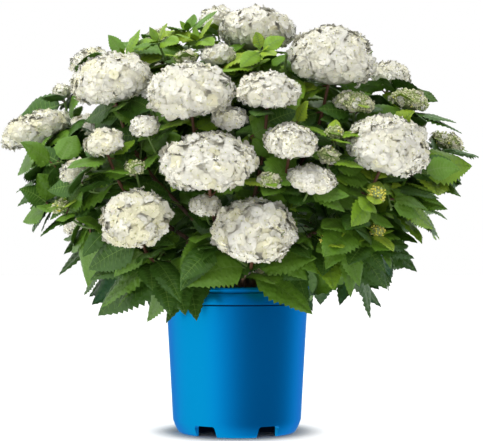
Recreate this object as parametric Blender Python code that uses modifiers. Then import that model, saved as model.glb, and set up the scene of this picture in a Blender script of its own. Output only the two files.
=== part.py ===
"""A white mophead hydrangea in a round nursery pot, in metres, +Z up.

The origin is the centre of the pot's foot, and the plant's front faces -Y. Canes stand on the potting mix.
Each is one tapering limb, and ends just short of the stem of one spray: a fork of shoots with their leaves
and flower heads, fused into one solid that keeps to its own part of the mound.
"""
import math
import random
from collections import namedtuple
from itertools import product

import bmesh
import bpy
from mathutils import Quaternion, Vector
from mathutils.bvhtree import BVHTree
from mathutils.kdtree import KDTree

# ---------------------------------------------------------------- the pot
POT_HEIGHT = 0.231
LIP_RADIUS = 0.1148            # outside of the rolled lip
LIP_HEIGHT = 0.0065
BAND_RADIUS = 0.1138           # outside of the band under the lip
BAND_BOTTOM = 0.2035
SHOULDER_RADIUS = 0.1123       # outside of the wall, just under the band
HEEL_RADIUS = 0.1021           # outside of the wall, above the rounded heel
HEEL_HEIGHT = 0.024
FOOT_RADIUS = 0.0933           # outside of the skirt, at the ground
WALL = 0.0022
SKIRT_THICKNESS = 0.0045       # of the ring that the pot stands on
FLOOR_HEIGHT = 0.0185          # underside of the raised floor
NOTCHES = 6                    # drainage notches through the skirt
NOTCH_WIDTH = 0.036
NOTCH_HEIGHT = 0.0172
FIRST_NOTCH = math.radians(30)
POT_STEPS = 32
MIX_TOP = BAND_BOTTOM
GAP = 0.0003                   # clearance between neighbouring solids

# ---------------------------------------------------------------- the mound that the flower heads stand on
MOUND_HALF_WIDTH = 0.335
MOUND_HALF_DEPTH = 0.290
BACK_HALF_DEPTH = 0.302        # the back flower heads stand a little further out
MOUND_HEART = 0.385            # height of its widest level
MOUND_RISE = 0.255
MOUND_FALL = 0.200
HEAD_LIFT = 2.0                # how much a head turns up from facing straight out of the mound

# The bounds that no leaf reaches out of: oval from above, closing in above and below their widest level
CROWN_HALF_WIDTH = 0.390
CROWN_HALF_DEPTH = 0.386
CROWN_HEART = 0.440
CROWN_RISE = 0.255
CROWN_FALL = 0.235
CROWN_FALL_IN = 0.32           # how far they have closed in at the bottom
CROWN_FALL_CURVE = 1.2
LOWEST_LEAF = 0.172

# ---------------------------------------------------------------- canes, stems and leaves
CANE_FOOT_RADIUS = 0.0036
CANE_TIP_RADIUS = 0.0028
ROOT_FLARE = 1.5               # swelling of a cane's foot
FLARE_HEIGHT = 0.007
FOOT_CIRCLE = 0.078            # the canes' feet stand within this radius
FORK_SHARE = 0.52              # how far along its way a cane gives over to its spray
PATH_HOLD = 0.42               # how far a bending limb keeps to its first and last way
STEM_RADIUS = 0.0036           # from the middle to a corner of its three-sided section
STEM_TIP_RADIUS = 0.0028
CUT_LENGTH = 0.004             # straight stretch on each side of a cane's end
SIDE_SHOOT_STARTS = (0.30, 0.75, 0.10, 0.52)   # along the lower half of the main shoot

LEAF_LENGTH = 0.118            # stalk and blade
LEAF_SHAPE = 0.64              # width over length
STALK_SHARE = 0.10
WIDEST_SHARE = 0.50
LEAF_THICKNESS = 0.0022
STALK_RADIUS = 0.0028
ROOT_SINK = 0.0008             # how far past the stem's middle a leaf's root goes
PAIR_STEP = 0.042
LEAFY_DIP = 0.4                # how much the tip of a leafy shoot turns down
LEADER_SIZE = 0.86             # of the leaf that ends a leafy shoot
PAIR_GROWTH = 0.12             # how much larger each pair is than the one above it
DROOP = (0.10, 0.70)
ROLL = 0.35                    # how far a blade rolls to either side, in radians
LOW_LEVEL = 0.34               # below this, leaves hang more and more over the rim
LOW_SPAN = 0.08
LOW_DROOP = 0.25               # added to the lowest leaves
LOW_TILT = 0.30                # added to how far down they may start out
STEEPEST_WAY = -0.15           # how far down a leaf may start out from its stem
HIGHEST_WAY = 0.45             # and how far up
LIGHT_FROM_SIDE = 0.9          # against 1 from above
TURN_TO_FACE = 0.5             # how much more the front half's blades face the front, and the rest the back

LEAF_STATIONS = (0.25, 0.35, 0.50, 0.62, 0.75, 0.88, 1.0)
LEAF_ANGLES = (68, 84, 100)    # between a leaf and the stem above it, in the order that they are tried
LEAF_TURNS = (0, 22, -22, 44, -44, 68, -68)
LEAF_SHRINKS = (1.0, 0.82, 0.66)
LEAF_SEED = 3
LEAF_CLEARANCE = 0.0026        # that a leaf keeps from other sprays' space
LIMB_CLEARANCE = 0.0085        # from its middle to the middle of a cane
POT_CLEARANCE = 0.004
HEAD_UNDERSIDE = 0.8           # depth of a flower head's lower half, against its upper half
HEAD_SEAT = 0.30               # how far below its middle a stem comes into it, against its thickness
HEAD_LUMPS = 0.05
HEAD_VIEW = 0.15               # no leaf stands before a head, this far out
HEAD_CLEAR = 0.85              # and over this much of its width
HEAD_COUNTS = ((0.08, (9, 6)), (0.042, (7, 4)), (0.0, (5, 3)))   # segments and rings, by width
TWIG_SECTION = "twig_section"
MERGE_DISTANCES = (0.000002, 0.00001, 0.0000005)   # for the seams of a union, in the order tried

OPEN, BUD, LEAFY = "open", "bud", "leafy"
UP = Vector((0, 0, 1))
# The most pairs of leaves on a side shoot, how far below its tip the first is, and that pair's size
SHOOT_LEAVES = {OPEN: (2, 0.010, 0.76), BUD: (2, 0.008, 0.70), LEAFY: (1, 0.034, 0.90)}
MAIN_PAIRS = 4                 # on a spray's main shoot

# The sprays that face the front. Each lists the ends of its shoots, the main one first, as
# (sideways, height, width, thickness, kind, nearer): the size is the flower head's, the mound gives its
# depth, and nearer moves it that much towards the front.
FRONT_SPRAYS = {
    "top": ((0.032, 0.628, 0.116, 0.074, OPEN, -0.03), (-0.032, 0.657, 0.056, 0.045, OPEN, -0.02),
            (-0.028, 0.580, 0.050, 0.036, OPEN, -0.05), (0.036, 0.578, 0.0, 0.0, LEAFY, 0.0),
            (-0.060, 0.604, 0.0, 0.0, LEAFY, -0.03)),
    "upper_right": ((0.142, 0.570, 0.126, 0.098, OPEN, 0.0), (0.074, 0.578, 0.0, 0.0, LEAFY, -0.01)),
    "right_shoulder": ((0.247, 0.565, 0.062, 0.050, OPEN, -0.01), (0.264, 0.514, 0.056, 0.034, BUD, 0.0),
                       (0.174, 0.503, 0.056, 0.030, BUD, -0.03), (0.262, 0.468, 0.0, 0.0, LEAFY, 0.0)),
    "right": ((0.218, 0.434, 0.120, 0.092, OPEN, 0.0), (0.131, 0.420, 0.030, 0.024, BUD, -0.02),
              (0.140, 0.455, 0.026, 0.020, BUD, -0.02)),
    "far_right": ((0.330, 0.455, 0.050, 0.030, BUD, 0.04), (0.282, 0.400, 0.0, 0.0, LEAFY, 0.02),
                  (0.222, 0.345, 0.0, 0.0, LEAFY, 0.02), (0.190, 0.300, 0.0, 0.0, LEAFY, -0.19),
                  (0.322, 0.412, 0.0, 0.0, LEAFY, 0.0), (0.272, 0.340, 0.0, 0.0, LEAFY, 0.0)),
    "centre_top": ((0.045, 0.512, 0.088, 0.054, OPEN, 0.0), (0.018, 0.450, 0.0, 0.0, LEAFY, -0.03),
                   (0.092, 0.470, 0.0, 0.0, LEAFY, -0.02)),
    "centre_right": ((0.076, 0.438, 0.074, 0.050, OPEN, 0.0), (0.106, 0.386, 0.066, 0.034, OPEN, 0.0),
                     (0.046, 0.384, 0.032, 0.020, BUD, -0.01)),
    "centre": ((-0.040, 0.408, 0.132, 0.076, OPEN, 0.0), (-0.044, 0.350, 0.042, 0.030, OPEN, -0.03),
               (-0.105, 0.425, 0.0, 0.0, LEAFY, -0.04)),
    "centre_left": ((-0.066, 0.510, 0.120, 0.084, OPEN, 0.0), (-0.130, 0.462, 0.040, 0.032, OPEN, -0.01),
                    (-0.010, 0.474, 0.048, 0.034, OPEN, -0.03)),
    "upper_left": ((-0.185, 0.535, 0.118, 0.082, OPEN, 0.0), (-0.236, 0.590, 0.064, 0.046, OPEN, -0.02),
                   (-0.122, 0.492, 0.0, 0.0, LEAFY, -0.03)),
    "top_left": ((-0.123, 0.620, 0.040, 0.026, BUD, 0.0), (-0.076, 0.572, 0.030, 0.020, BUD, -0.02),
                 (-0.075, 0.622, 0.0, 0.0, LEAFY, 0.0), (-0.170, 0.578, 0.0, 0.0, LEAFY, 0.0),
                 (-0.118, 0.598, 0.0, 0.0, LEAFY, 0.01)),
    "far_left": ((-0.315, 0.474, 0.106, 0.056, OPEN, 0.05), (-0.280, 0.540, 0.030, 0.024, OPEN, 0.0),
                 (-0.275, 0.412, 0.0, 0.0, LEAFY, 0.02), (-0.190, 0.300, 0.0, 0.0, LEAFY, -0.19),
                 (-0.288, 0.348, 0.0, 0.0, LEAFY, 0.0)),
    "left": ((-0.190, 0.440, 0.056, 0.042, OPEN, 0.0), (-0.145, 0.404, 0.030, 0.020, BUD, -0.03),
             (-0.234, 0.400, 0.044, 0.034, OPEN, 0.0), (-0.260, 0.350, 0.024, 0.020, BUD, 0.0)),
    "low_left": ((-0.144, 0.328, 0.096, 0.086, OPEN, 0.0), (-0.200, 0.312, 0.0, 0.0, LEAFY, 0.0),
                 (-0.150, 0.258, 0.0, 0.0, LEAFY, 0.0), (-0.112, 0.274, 0.0, 0.0, LEAFY, 0.0)),
    "low_centre": ((0.024, 0.312, 0.114, 0.086, OPEN, 0.0), (0.038, 0.258, 0.024, 0.018, OPEN, -0.03),
                   (-0.054, 0.288, 0.0, 0.0, LEAFY, 0.0), (0.102, 0.288, 0.0, 0.0, LEAFY, 0.0),
                   (-0.058, 0.302, 0.0, 0.0, LEAFY, -0.04), (0.098, 0.306, 0.0, 0.0, LEAFY, -0.04)),
    "low_right": ((0.200, 0.366, 0.024, 0.022, BUD, 0.01), (0.204, 0.314, 0.022, 0.020, BUD, 0.0),
                  (0.130, 0.300, 0.018, 0.016, BUD, 0.0), (0.148, 0.275, 0.0, 0.0, LEAFY, 0.0),
                  (0.222, 0.283, 0.0, 0.0, LEAFY, 0.0), (0.176, 0.262, 0.0, 0.0, LEAFY, -0.02)),
}
# The rings of sprays round the back, as (height, sprays, first and last bearing from the front in degrees,
# and how much higher the smaller heads stand between them)
BACK_RINGS = ((0.345, 4, 132, 228, 0.070), (0.480, 3, 122, 238, 0.010), (0.588, 3, 122, 238, 0.005))
BACK_HEAD_WIDTH = (0.098, 0.124)
BACK_SIDE_WIDTH = (0.044, 0.068)
HEAD_FULLNESS = 0.72           # thickness over width of a back head

Shoot = namedtuple("Shoot", "main points width thickness kind centre axis")
Leaf = namedtuple("Leaf", "root way droop length light")


# ---------------------------------------------------------------- the mound
def mound_reach(height):
    """How wide the mound is at a height, as a share of its widest level."""
    span = MOUND_RISE if height > MOUND_HEART else MOUND_FALL
    return math.sqrt(max(0.0, 1 - ((height - MOUND_HEART) / span) ** 2))


def front_point(side, height, nearer):
    """The mound's front surface at a sideways place and height."""
    rest = mound_reach(height) ** 2 - (side / MOUND_HALF_WIDTH) ** 2
    return Vector((side, -MOUND_HALF_DEPTH * math.sqrt(max(0.0, rest)) - nearer, height))


def ring_point(bearing, height):
    """The mound's back surface at a bearing from the front, clockwise from above."""
    reach = mound_reach(height)
    return Vector((MOUND_HALF_WIDTH * reach * math.sin(bearing),
                   -BACK_HALF_DEPTH * reach * math.cos(bearing), height))


def outward(point):
    """The direction that the mound's surface faces, at a point on or near it."""
    span = MOUND_RISE if point.z > MOUND_HEART else MOUND_FALL
    return Vector((point.x / MOUND_HALF_WIDTH ** 2, point.y / MOUND_HALF_DEPTH ** 2,
                   (point.z - MOUND_HEART) / span ** 2)).normalized()


def in_crown(point):
    """Whether a point lies within the bounds of the crown."""
    if point.z < LOWEST_LEAF:
        return False
    if point.z > CROWN_HEART:
        room = 1 - ((point.z - CROWN_HEART) / CROWN_RISE) ** 2
    else:
        room = 1 - CROWN_FALL_IN * ((CROWN_HEART - point.z) / CROWN_FALL) ** CROWN_FALL_CURVE
    return math.hypot(point.x / CROWN_HALF_WIDTH, point.y / CROWN_HALF_DEPTH) < room


def head_axis(centre):
    """The way a flower head faces."""
    return (outward(centre) + HEAD_LIFT * UP).normalized()


# ---------------------------------------------------------------- ways of growing
def bend(start, start_way, end, end_way, share):
    """A point on the smooth path that leaves start along one way and comes into end along the other."""
    hold = PATH_HOLD * (end - start).length
    first = start + start_way * hold
    last = end - end_way * hold
    rest = 1 - share
    return (start * rest ** 3 + first * (3 * rest * rest * share)
            + last * (3 * rest * share * share) + end * share ** 3)


def bend_points(start, start_way, end, end_way, first, last, steps):
    """Points along such a path, from one share of it to another."""
    return [bend(start, start_way, end, end_way, first + (last - first) * step / steps)
            for step in range(steps + 1)]


def back_sprays():
    """The sprays round the back: the ends of their shoots, by ring, with a smaller head after each."""
    rng = random.Random(41)
    sprays = {}
    for height, count, first, last, side_rise in BACK_RINGS:
        turn = math.radians((last - first) / (count - 1))
        for number in range(count):
            bearing = math.radians(first) + turn * number
            centre = ring_point(bearing, height + rng.uniform(-0.010, 0.010))
            width = rng.uniform(*BACK_HEAD_WIDTH)
            ends = [(centre, width, width * HEAD_FULLNESS, OPEN)]
            if number < count - 1:
                side = ring_point(bearing + 0.5 * turn, height + side_rise)
                small = rng.uniform(*BACK_SIDE_WIDTH)
                ends.append((side, small, small * HEAD_FULLNESS, OPEN))
            sprays["back_%d" % (len(sprays) + 1)] = ends
    return sprays


def front_sprays():
    """The sprays that face the front: the ends of their shoots."""
    return {name: [(front_point(side, height, nearer), width, thickness, kind)
                   for side, height, width, thickness, kind, nearer in ends]
            for name, ends in FRONT_SPRAYS.items()}


def cane_foot(centre):
    """Where the cane of a spray stands: under low sprays near the pot's wall, under high ones inside."""
    low, high = 0.30, 0.68
    spread = min(1.0, max(0.12, (high - centre.z) / (high - low)))
    level = Vector((centre.x, centre.y, 0)).normalized()
    return level * (FOOT_CIRCLE * spread) + UP * (MIX_TOP + GAP)


def head_base(centre, axis, thickness):
    """Where the stem comes into a flower head's underside."""
    return centre - axis * (HEAD_SEAT * thickness)


def grow(ends):
    """A spray's cane and shoots, each a list of points with the flower head that ends it."""
    centre, width, thickness, kind = ends[0]
    foot = cane_foot(centre)
    axis = head_axis(centre)
    base = head_base(centre, axis, thickness)
    cane = bend_points(foot, UP, base, axis, 0.0, FORK_SHARE, 3)
    stem = bend_points(foot, UP, base, axis, FORK_SHARE, 1.0, 3)
    way = (stem[1] - cane[-2]).normalized()
    fork = cane[-1].copy()
    cane[-1:] = [fork - way * CUT_LENGTH, fork]
    stem[0:1] = [fork + way * GAP, fork + way * (GAP + CUT_LENGTH)]
    shoots = [Shoot(True, stem, width, thickness, kind, centre, axis)]
    for number, (centre, width, thickness, kind) in enumerate(ends[1:]):
        start = stem[1].lerp(stem[3], SIDE_SHOOT_STARTS[number % len(SIDE_SHOOT_STARTS)])
        axis = head_axis(centre)
        if kind == LEAFY:
            axis = (outward(centre) - LEAFY_DIP * UP).normalized()
        base = head_base(centre, axis, thickness)
        start_way = ((stem[3] - stem[1]).normalized() + (base - start).normalized()).normalized()
        points = bend_points(start, start_way, base, axis, 0.0, 1.0, 3)
        shoots.append(Shoot(False, points, width, thickness, kind, centre, axis))
    return cane, shoots


def along_points(points, distance):
    """The point and direction at a distance back from the end of a line of points."""
    for end, start in zip(points[::-1], points[-2::-1]):
        run = (end - start).length
        if distance <= run:
            return end.lerp(start, distance / run), (end - start).normalized()
        distance -= run
    return None


def leaf_point(leaf, share, across=0.0):
    """A point of a leaf: share runs from its root to its tip, across is metres to the side."""
    fall = Vector((0, 0, -leaf.droop))
    place = leaf.root + (leaf.way * share + fall * (0.5 * share * share)) * leaf.length
    along = (leaf.way + fall * share).normalized()
    face = (leaf.light - along * leaf.light.dot(along)).normalized()
    return place + along.cross(face) * across, face


def half_width(leaf, share):
    """Half the width of a leaf at a share of its length."""
    if share < STALK_SHARE:
        return STALK_RADIUS
    if share < WIDEST_SHARE:
        rise = (share - STALK_SHARE) / (WIDEST_SHARE - STALK_SHARE)
    else:
        rise = (1 - share) / (1 - WIDEST_SHARE)
    return 0.5 * LEAF_SHAPE * leaf.length * rise


def leaf_reach(leaf):
    """Points all over a leaf's blade."""
    places = [leaf_point(leaf, share)[0] for share in LEAF_STATIONS]
    for share in LEAF_STATIONS[:-1]:
        for side in (-1, 1):
            places.append(leaf_point(leaf, share, side * half_width(leaf, share))[0])
    return places


def shoot_leaves(shoot, rng):
    """The leaves that a shoot would bear, from its tip down: root, stem way, side, size, droop and roll."""
    most, first, smallest = SHOOT_LEAVES[shoot.kind]
    most = MAIN_PAIRS if shoot.main else most
    turn = rng.uniform(0, math.pi)
    leaves = []
    if shoot.kind == LEAFY:
        tip_way = (shoot.points[-1] - shoot.points[-2]).normalized()
        leaves.append((shoot.points[-1], tip_way, tip_way, LEADER_SIZE, rng.uniform(*DROOP), 0.0))
    for pair in range(most):
        found = along_points(shoot.points, first + PAIR_STEP * pair)
        if not found:
            break
        root, stem_way = found
        side = stem_way.orthogonal().normalized()
        size = min(1.0, smallest + PAIR_GROWTH * pair)
        for half in (0, 1):
            around = Quaternion(stem_way, turn + math.pi * half + rng.uniform(-0.2, 0.2))
            leaves.append((root, stem_way, around @ side, size * rng.uniform(0.92, 1.08),
                           rng.uniform(*DROOP), rng.uniform(-ROLL, ROLL)))
        turn += math.pi / 2
    return leaves


def try_leaf(root, stem_way, side, size, droop, roll, turn, open_angle, shrink):
    """One way for a leaf to stand: turned round the stem, opened from it, and shrunk."""
    level = Quaternion(stem_way, math.radians(turn)) @ side
    angle = math.radians(open_angle)
    way = stem_way * math.cos(angle) + level * math.sin(angle)
    low = min(1.0, max(0.0, (LOW_LEVEL - root.z) / LOW_SPAN))
    way.z = min(HIGHEST_WAY, max(way.z, STEEPEST_WAY - LOW_TILT * low))
    way.normalize()
    out = outward(root)
    light = Vector((out.x, out.y, 0)) * LIGHT_FROM_SIDE + UP
    light.y += math.copysign(TURN_TO_FACE, root.y)
    light.normalize()
    length = LEAF_LENGTH * size * shrink
    return Leaf(root, way, droop + LOW_DROOP * low, length, Quaternion(way, roll) @ light)


# ---------------------------------------------------------------- the space that each spray keeps to
class Space:
    """Whose space a point is in: that of the spray whose stems and flower heads are nearest."""

    def __init__(self, canes, sprays):
        self.heads = [shoot for shoots in sprays.values() for shoot in shoots if shoot.width > 0]
        held = {name: [] for name in sprays}
        for name, shoots in sprays.items():
            for shoot in shoots:
                held[name] += fill_in(shoot.points)
                if shoot.width > 0:
                    held[name] += head_surface(shoot)
        self.own = {name: tree_of(held[name]) for name in sprays}
        self.others = {name: tree_of([place for other in sprays if other != name for place in held[other]])
                       for name in sprays}
        self.limbs = tree_of([place for cane in canes.values() for place in fill_in(cane)])

    def allows(self, name, places):
        """Whether all these points lie in the spray's own space, clear of canes, pot and flower heads."""
        own, others = self.own[name], self.others[name]
        for place in places:
            if not in_crown(place):
                return False
            if place.z < POT_HEIGHT + POT_CLEARANCE and place.xy.length < LIP_RADIUS + POT_CLEARANCE:
                return False
            if own.find(place)[2] + LEAF_CLEARANCE > others.find(place)[2]:
                return False
            if self.limbs.find(place)[2] < LIMB_CLEARANCE:
                return False
        return not any(in_head(head, place) or before_head(head, place)
                       for head in self.heads for place in places)


def tree_of(places):
    """A search tree of points."""
    tree = KDTree(len(places))
    for number, place in enumerate(places):
        tree.insert(place, number)
    tree.balance()
    return tree


def fill_in(points, step=0.006):
    """Points every few millimetres along a line of points."""
    places = []
    for start, end in zip(points, points[1:]):
        count = max(1, round((end - start).length / step))
        places += [start.lerp(end, number / count) for number in range(count)]
    return places + [points[-1]]


def head_frame(shoot):
    """Two directions across a flower head."""
    side = shoot.axis.orthogonal().normalized()
    return side, shoot.axis.cross(side)


def head_surface(shoot):
    """Points spread over a flower head."""
    side, front = head_frame(shoot)
    places = []
    for ring in range(1, 8):
        slope = math.pi * ring / 8
        for step in range(12):
            turn = math.tau * step / 12
            reach = 0.5 * shoot.width * math.sin(slope)
            rise = 0.5 * shoot.thickness * math.cos(slope) * (1 if ring < 4 else HEAD_UNDERSIDE)
            places.append(shoot.centre + shoot.axis * rise
                          + (side * math.cos(turn) + front * math.sin(turn)) * reach)
    return places


def in_head(shoot, place):
    """Whether a point lies in a flower head."""
    step = place - shoot.centre
    if step.length > 0.5 * shoot.width:
        return False
    rise = step.dot(shoot.axis)
    reach = (step - shoot.axis * rise).length
    half = 0.5 * shoot.thickness * (HEAD_UNDERSIDE if rise < 0 else 1)
    return math.hypot(rise / half, reach / (0.5 * shoot.width)) < 1


def before_head(shoot, place):
    """Whether a point stands in the way of the view of a flower head from outside the mound."""
    out = outward(shoot.centre)
    step = place - shoot.centre
    rise = step.dot(out)
    return 0 < rise < HEAD_VIEW and (step - out * rise).length < HEAD_CLEAR * 0.5 * shoot.width


def blade(leaf):
    """A leaf's blade as a thin sheet, to find what it would cross."""
    half = half_width(leaf, WIDEST_SHARE)
    places = [leaf_point(leaf, STALK_SHARE)[0], leaf_point(leaf, WIDEST_SHARE, -half)[0],
              leaf_point(leaf, WIDEST_SHARE)[0], leaf_point(leaf, WIDEST_SHARE, half)[0],
              leaf_point(leaf, 1.0)[0]]
    return BVHTree.FromPolygons(places, ((0, 1, 2), (0, 2, 3), (1, 4, 2), (2, 4, 3)))


def choose_leaves(canes, sprays):
    """Each spray's leaves: each stands in the first way that keeps to the spray's space, or is left out."""
    space = Space(canes, sprays)
    chosen = {}
    for name, shoots in sprays.items():
        rng = random.Random("%s %d" % (name, LEAF_SEED))
        chosen[name] = []
        blades = []
        for shoot in shoots:
            for root, stem_way, side, size, droop, roll in shoot_leaves(shoot, rng):
                for shrink, angle, turn in product(LEAF_SHRINKS, LEAF_ANGLES, LEAF_TURNS):
                    leaf = try_leaf(root, stem_way, side, size, droop, roll, turn, angle, shrink)
                    sheet = blade(leaf)
                    if space.allows(name, leaf_reach(leaf)) and not any(map(sheet.overlap, blades)):
                        chosen[name].append(leaf)
                        blades.append(sheet)
                        break
    return chosen


# ---------------------------------------------------------------- Blender helpers
def collection(name):
    """A collection in the scene."""
    made = bpy.data.collections.new(name)
    bpy.context.scene.collection.children.link(made)
    return made


def material(name, colour, roughness):
    """A plain Principled material."""
    made = bpy.data.materials.new(name)
    made.use_nodes = True
    shader = made.node_tree.nodes["Principled BSDF"]
    shader.inputs["Base Color"].default_value = (*colour, 1.0)
    shader.inputs["Roughness"].default_value = roughness
    made.diffuse_color = (*colour, 1.0)
    return made


def object_of(mesh, name, home, *materials):
    """An object for a mesh, in a collection."""
    made = bpy.data.objects.new(name, mesh)
    for finish in materials:
        mesh.materials.append(finish)
    home.objects.link(made)
    return made


def mesh_from(bm, name):
    """A mesh of a bmesh, which is freed."""
    mesh = bpy.data.meshes.new(name)
    bm.to_mesh(mesh)
    bm.free()
    return mesh


def evaluated_mesh(made):
    """The mesh that an object's modifiers or curve settings give."""
    view = bpy.context.evaluated_depsgraph_get()
    return bpy.data.meshes.new_from_object(made.evaluated_get(view))


def turned(name, profile, home, finish):
    """A solid turned round the Z axis from a profile, listed down its outside."""
    bm = bmesh.new()
    corners = [bm.verts.new((radius, 0, height)) for radius, height in profile]
    for start, end in zip(corners, corners[1:]):
        bm.edges.new((start, end))
    made = object_of(mesh_from(bm, name), name, home, finish)
    screw = made.modifiers.new("turn", "SCREW")
    screw.steps = POT_STEPS
    screw.render_steps = POT_STEPS
    screw.use_merge_vertices = True
    screw.merge_threshold = 0.0001
    screw.use_smooth_shade = True
    return made


def tube(name, points, radii, sides, home):
    """A tapering tube along points, as a curve object with filled caps."""
    curve = bpy.data.curves.new(name, "CURVE")
    curve.dimensions = "3D"
    curve.use_fill_caps = True
    if sides == 3:
        curve.bevel_mode = "OBJECT"
        curve.bevel_object = bpy.data.objects[TWIG_SECTION]
    else:
        curve.bevel_depth = 1.0
        curve.bevel_resolution = (sides - 4) // 2
    line = curve.splines.new("POLY")
    line.points.add(len(points) - 1)
    for knot, point, radius in zip(line.points, points, radii):
        knot.co = (*point, 1.0)
        knot.radius = radius
    made = bpy.data.objects.new(name, curve)
    home.objects.link(made)
    return made


def as_mesh(made, home):
    """A curve object made into a welded mesh object, which takes its place."""
    mesh = evaluated_mesh(made)
    bm = bmesh.new()
    bm.from_mesh(mesh)
    bmesh.ops.remove_doubles(bm, verts=bm.verts, dist=0.00001)
    bmesh.ops.recalc_face_normals(bm, faces=bm.faces)
    bm.to_mesh(mesh)
    bm.free()
    name = made.name
    place = made.matrix_world.copy()
    bpy.data.objects.remove(made)
    welded = object_of(mesh, name, home)
    welded.matrix_world = place
    return welded


def taper(start, end, count):
    """Radii from one to another."""
    return [start + (end - start) * number / (count - 1) for number in range(count)]


# ---------------------------------------------------------------- the pot and its filling
def wall_radius(height):
    """The outside of the pot's wall at a height, from the rounded heel to the band."""
    if height < HEEL_HEIGHT:
        share = height / HEEL_HEIGHT
        return FOOT_RADIUS + (HEEL_RADIUS - FOOT_RADIUS) * math.sin(0.5 * math.pi * share)
    share = (height - HEEL_HEIGHT) / (BAND_BOTTOM - HEEL_HEIGHT)
    return HEEL_RADIUS + (SHOULDER_RADIUS - HEEL_RADIUS) * share


def pot(home, cutters):
    """The pot: a lip and band, a slightly tapering wall, and a raised floor in a notched skirt."""
    floor_top = FLOOR_HEIGHT + WALL
    lip_bottom = POT_HEIGHT - LIP_HEIGHT
    profile = [(0, floor_top), (wall_radius(floor_top) - WALL, floor_top),
               (wall_radius(HEEL_HEIGHT) - WALL, HEEL_HEIGHT),
               (SHOULDER_RADIUS - WALL, BAND_BOTTOM), (SHOULDER_RADIUS - WALL, POT_HEIGHT),
               (LIP_RADIUS - 0.0015, POT_HEIGHT), (LIP_RADIUS, POT_HEIGHT - 0.0015),
               (LIP_RADIUS, lip_bottom + 0.001), (BAND_RADIUS, lip_bottom),
               (BAND_RADIUS, BAND_BOTTOM), (SHOULDER_RADIUS, BAND_BOTTOM - 0.0005)]
    profile += [(wall_radius(height), height) for height in (HEEL_HEIGHT, 0.010)]
    profile += [(FOOT_RADIUS, 0), (FOOT_RADIUS - SKIRT_THICKNESS, 0),
                (FOOT_RADIUS - SKIRT_THICKNESS, FLOOR_HEIGHT), (0, FLOOR_HEIGHT)]
    made = turned("pot", profile, home, material("pot_plastic", (0.003, 0.20, 0.56), 0.38))
    for number in range(NOTCHES):
        bearing = FIRST_NOTCH + math.tau * number / NOTCHES
        bpy.ops.mesh.primitive_cube_add(size=1)
        cutter = bpy.context.object
        cutter.name = "notch_%d" % (number + 1)
        cutter.scale = (NOTCH_WIDTH, 0.04, 2 * NOTCH_HEIGHT)
        cutter.location = (FOOT_RADIUS * math.sin(bearing), -FOOT_RADIUS * math.cos(bearing), 0)
        cutter.rotation_euler.z = bearing
        cutter.hide_render = True
        cutter.display_type = "WIRE"
        for holder in list(cutter.users_collection):
            holder.objects.unlink(cutter)
        cutters.objects.link(cutter)
        cut = made.modifiers.new(cutter.name, "BOOLEAN")
        cut.object = cutter
        cut.operation = "DIFFERENCE"
    return made


def potting_mix(home):
    """The mix that fills the pot."""
    bottom = FLOOR_HEIGHT + WALL + GAP
    inner = WALL + GAP
    profile = [(0, MIX_TOP), (SHOULDER_RADIUS - inner, MIX_TOP),
               (wall_radius(HEEL_HEIGHT) - inner, HEEL_HEIGHT),
               (wall_radius(FLOOR_HEIGHT + WALL) - inner, bottom), (0, bottom)]
    return turned("potting_mix", profile, home, material("potting_mix", (0.05, 0.032, 0.022), 0.95))


# ---------------------------------------------------------------- the plant
def add_cane(name, points, home, finish):
    """One cane, with its root flare and its flat cut on the mix."""
    flare = [points[0], points[0] + UP * FLARE_HEIGHT]
    radii = [CANE_FOOT_RADIUS * ROOT_FLARE] + taper(CANE_FOOT_RADIUS, CANE_TIP_RADIUS, len(points))
    made = tube("cane_" + name, flare + points[1:], radii, 6, home)
    made.data.materials.append(finish)
    return made


def add_head(shoot, rng, home):
    """A flower head's solid: a lumpy dome with a flatter underside."""
    segments, rings = next(counts for width, counts in HEAD_COUNTS if shoot.width >= width)
    side, front = head_frame(shoot)
    bm = bmesh.new()
    bmesh.ops.create_uvsphere(bm, u_segments=segments, v_segments=rings, radius=1)
    for corner in bm.verts:
        across, deep, rise = corner.co * rng.uniform(1 - HEAD_LUMPS, 1 + HEAD_LUMPS)
        rise *= HEAD_UNDERSIDE if rise < 0 else 1
        corner.co = (shoot.centre + (side * across + front * deep) * (0.5 * shoot.width)
                     + shoot.axis * (rise * 0.5 * shoot.thickness))
    bmesh.ops.triangulate(bm, faces=bm.faces)
    return object_of(mesh_from(bm, "head"), "head", home)


def add_leaf(leaf, home):
    """A leaf's solid: a three-sided sphere drawn out along the leaf, its rings at stalk and widest."""
    bm = bmesh.new()
    bmesh.ops.create_uvsphere(bm, u_segments=3, v_segments=3, radius=1)
    for corner in bm.verts:
        level = round(1.5 * (corner.co.z + 1))
        share, half, depth = ((0.0, 0.0, 0.0), (STALK_SHARE, STALK_RADIUS, LEAF_THICKNESS),
                              (WIDEST_SHARE, half_width(leaf, WIDEST_SHARE), LEAF_THICKNESS),
                              (1.0, 0.0, 0.0))[level]
        ring = corner.co.xy.normalized()
        place, face = leaf_point(leaf, share, half * ring.y / math.sin(math.pi / 3))
        corner.co = place - face * (depth * max(0.0, ring.x))
        if level == 0:
            corner.co -= leaf.way * ROOT_SINK
    bmesh.ops.triangulate(bm, faces=bm.faces)
    bmesh.ops.recalc_face_normals(bm, faces=bm.faces)
    return object_of(mesh_from(bm, "leaf"), "leaf", home)


def islands(bm):
    """The separate bodies of a bmesh, each a list of its faces."""
    left = set(bm.faces)
    found = []
    while left:
        body = [left.pop()]
        for face in body:
            for edge in face.edges:
                for other in edge.link_faces:
                    if other in left:
                        left.discard(other)
                        body.append(other)
        found.append(body)
    return found


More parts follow.
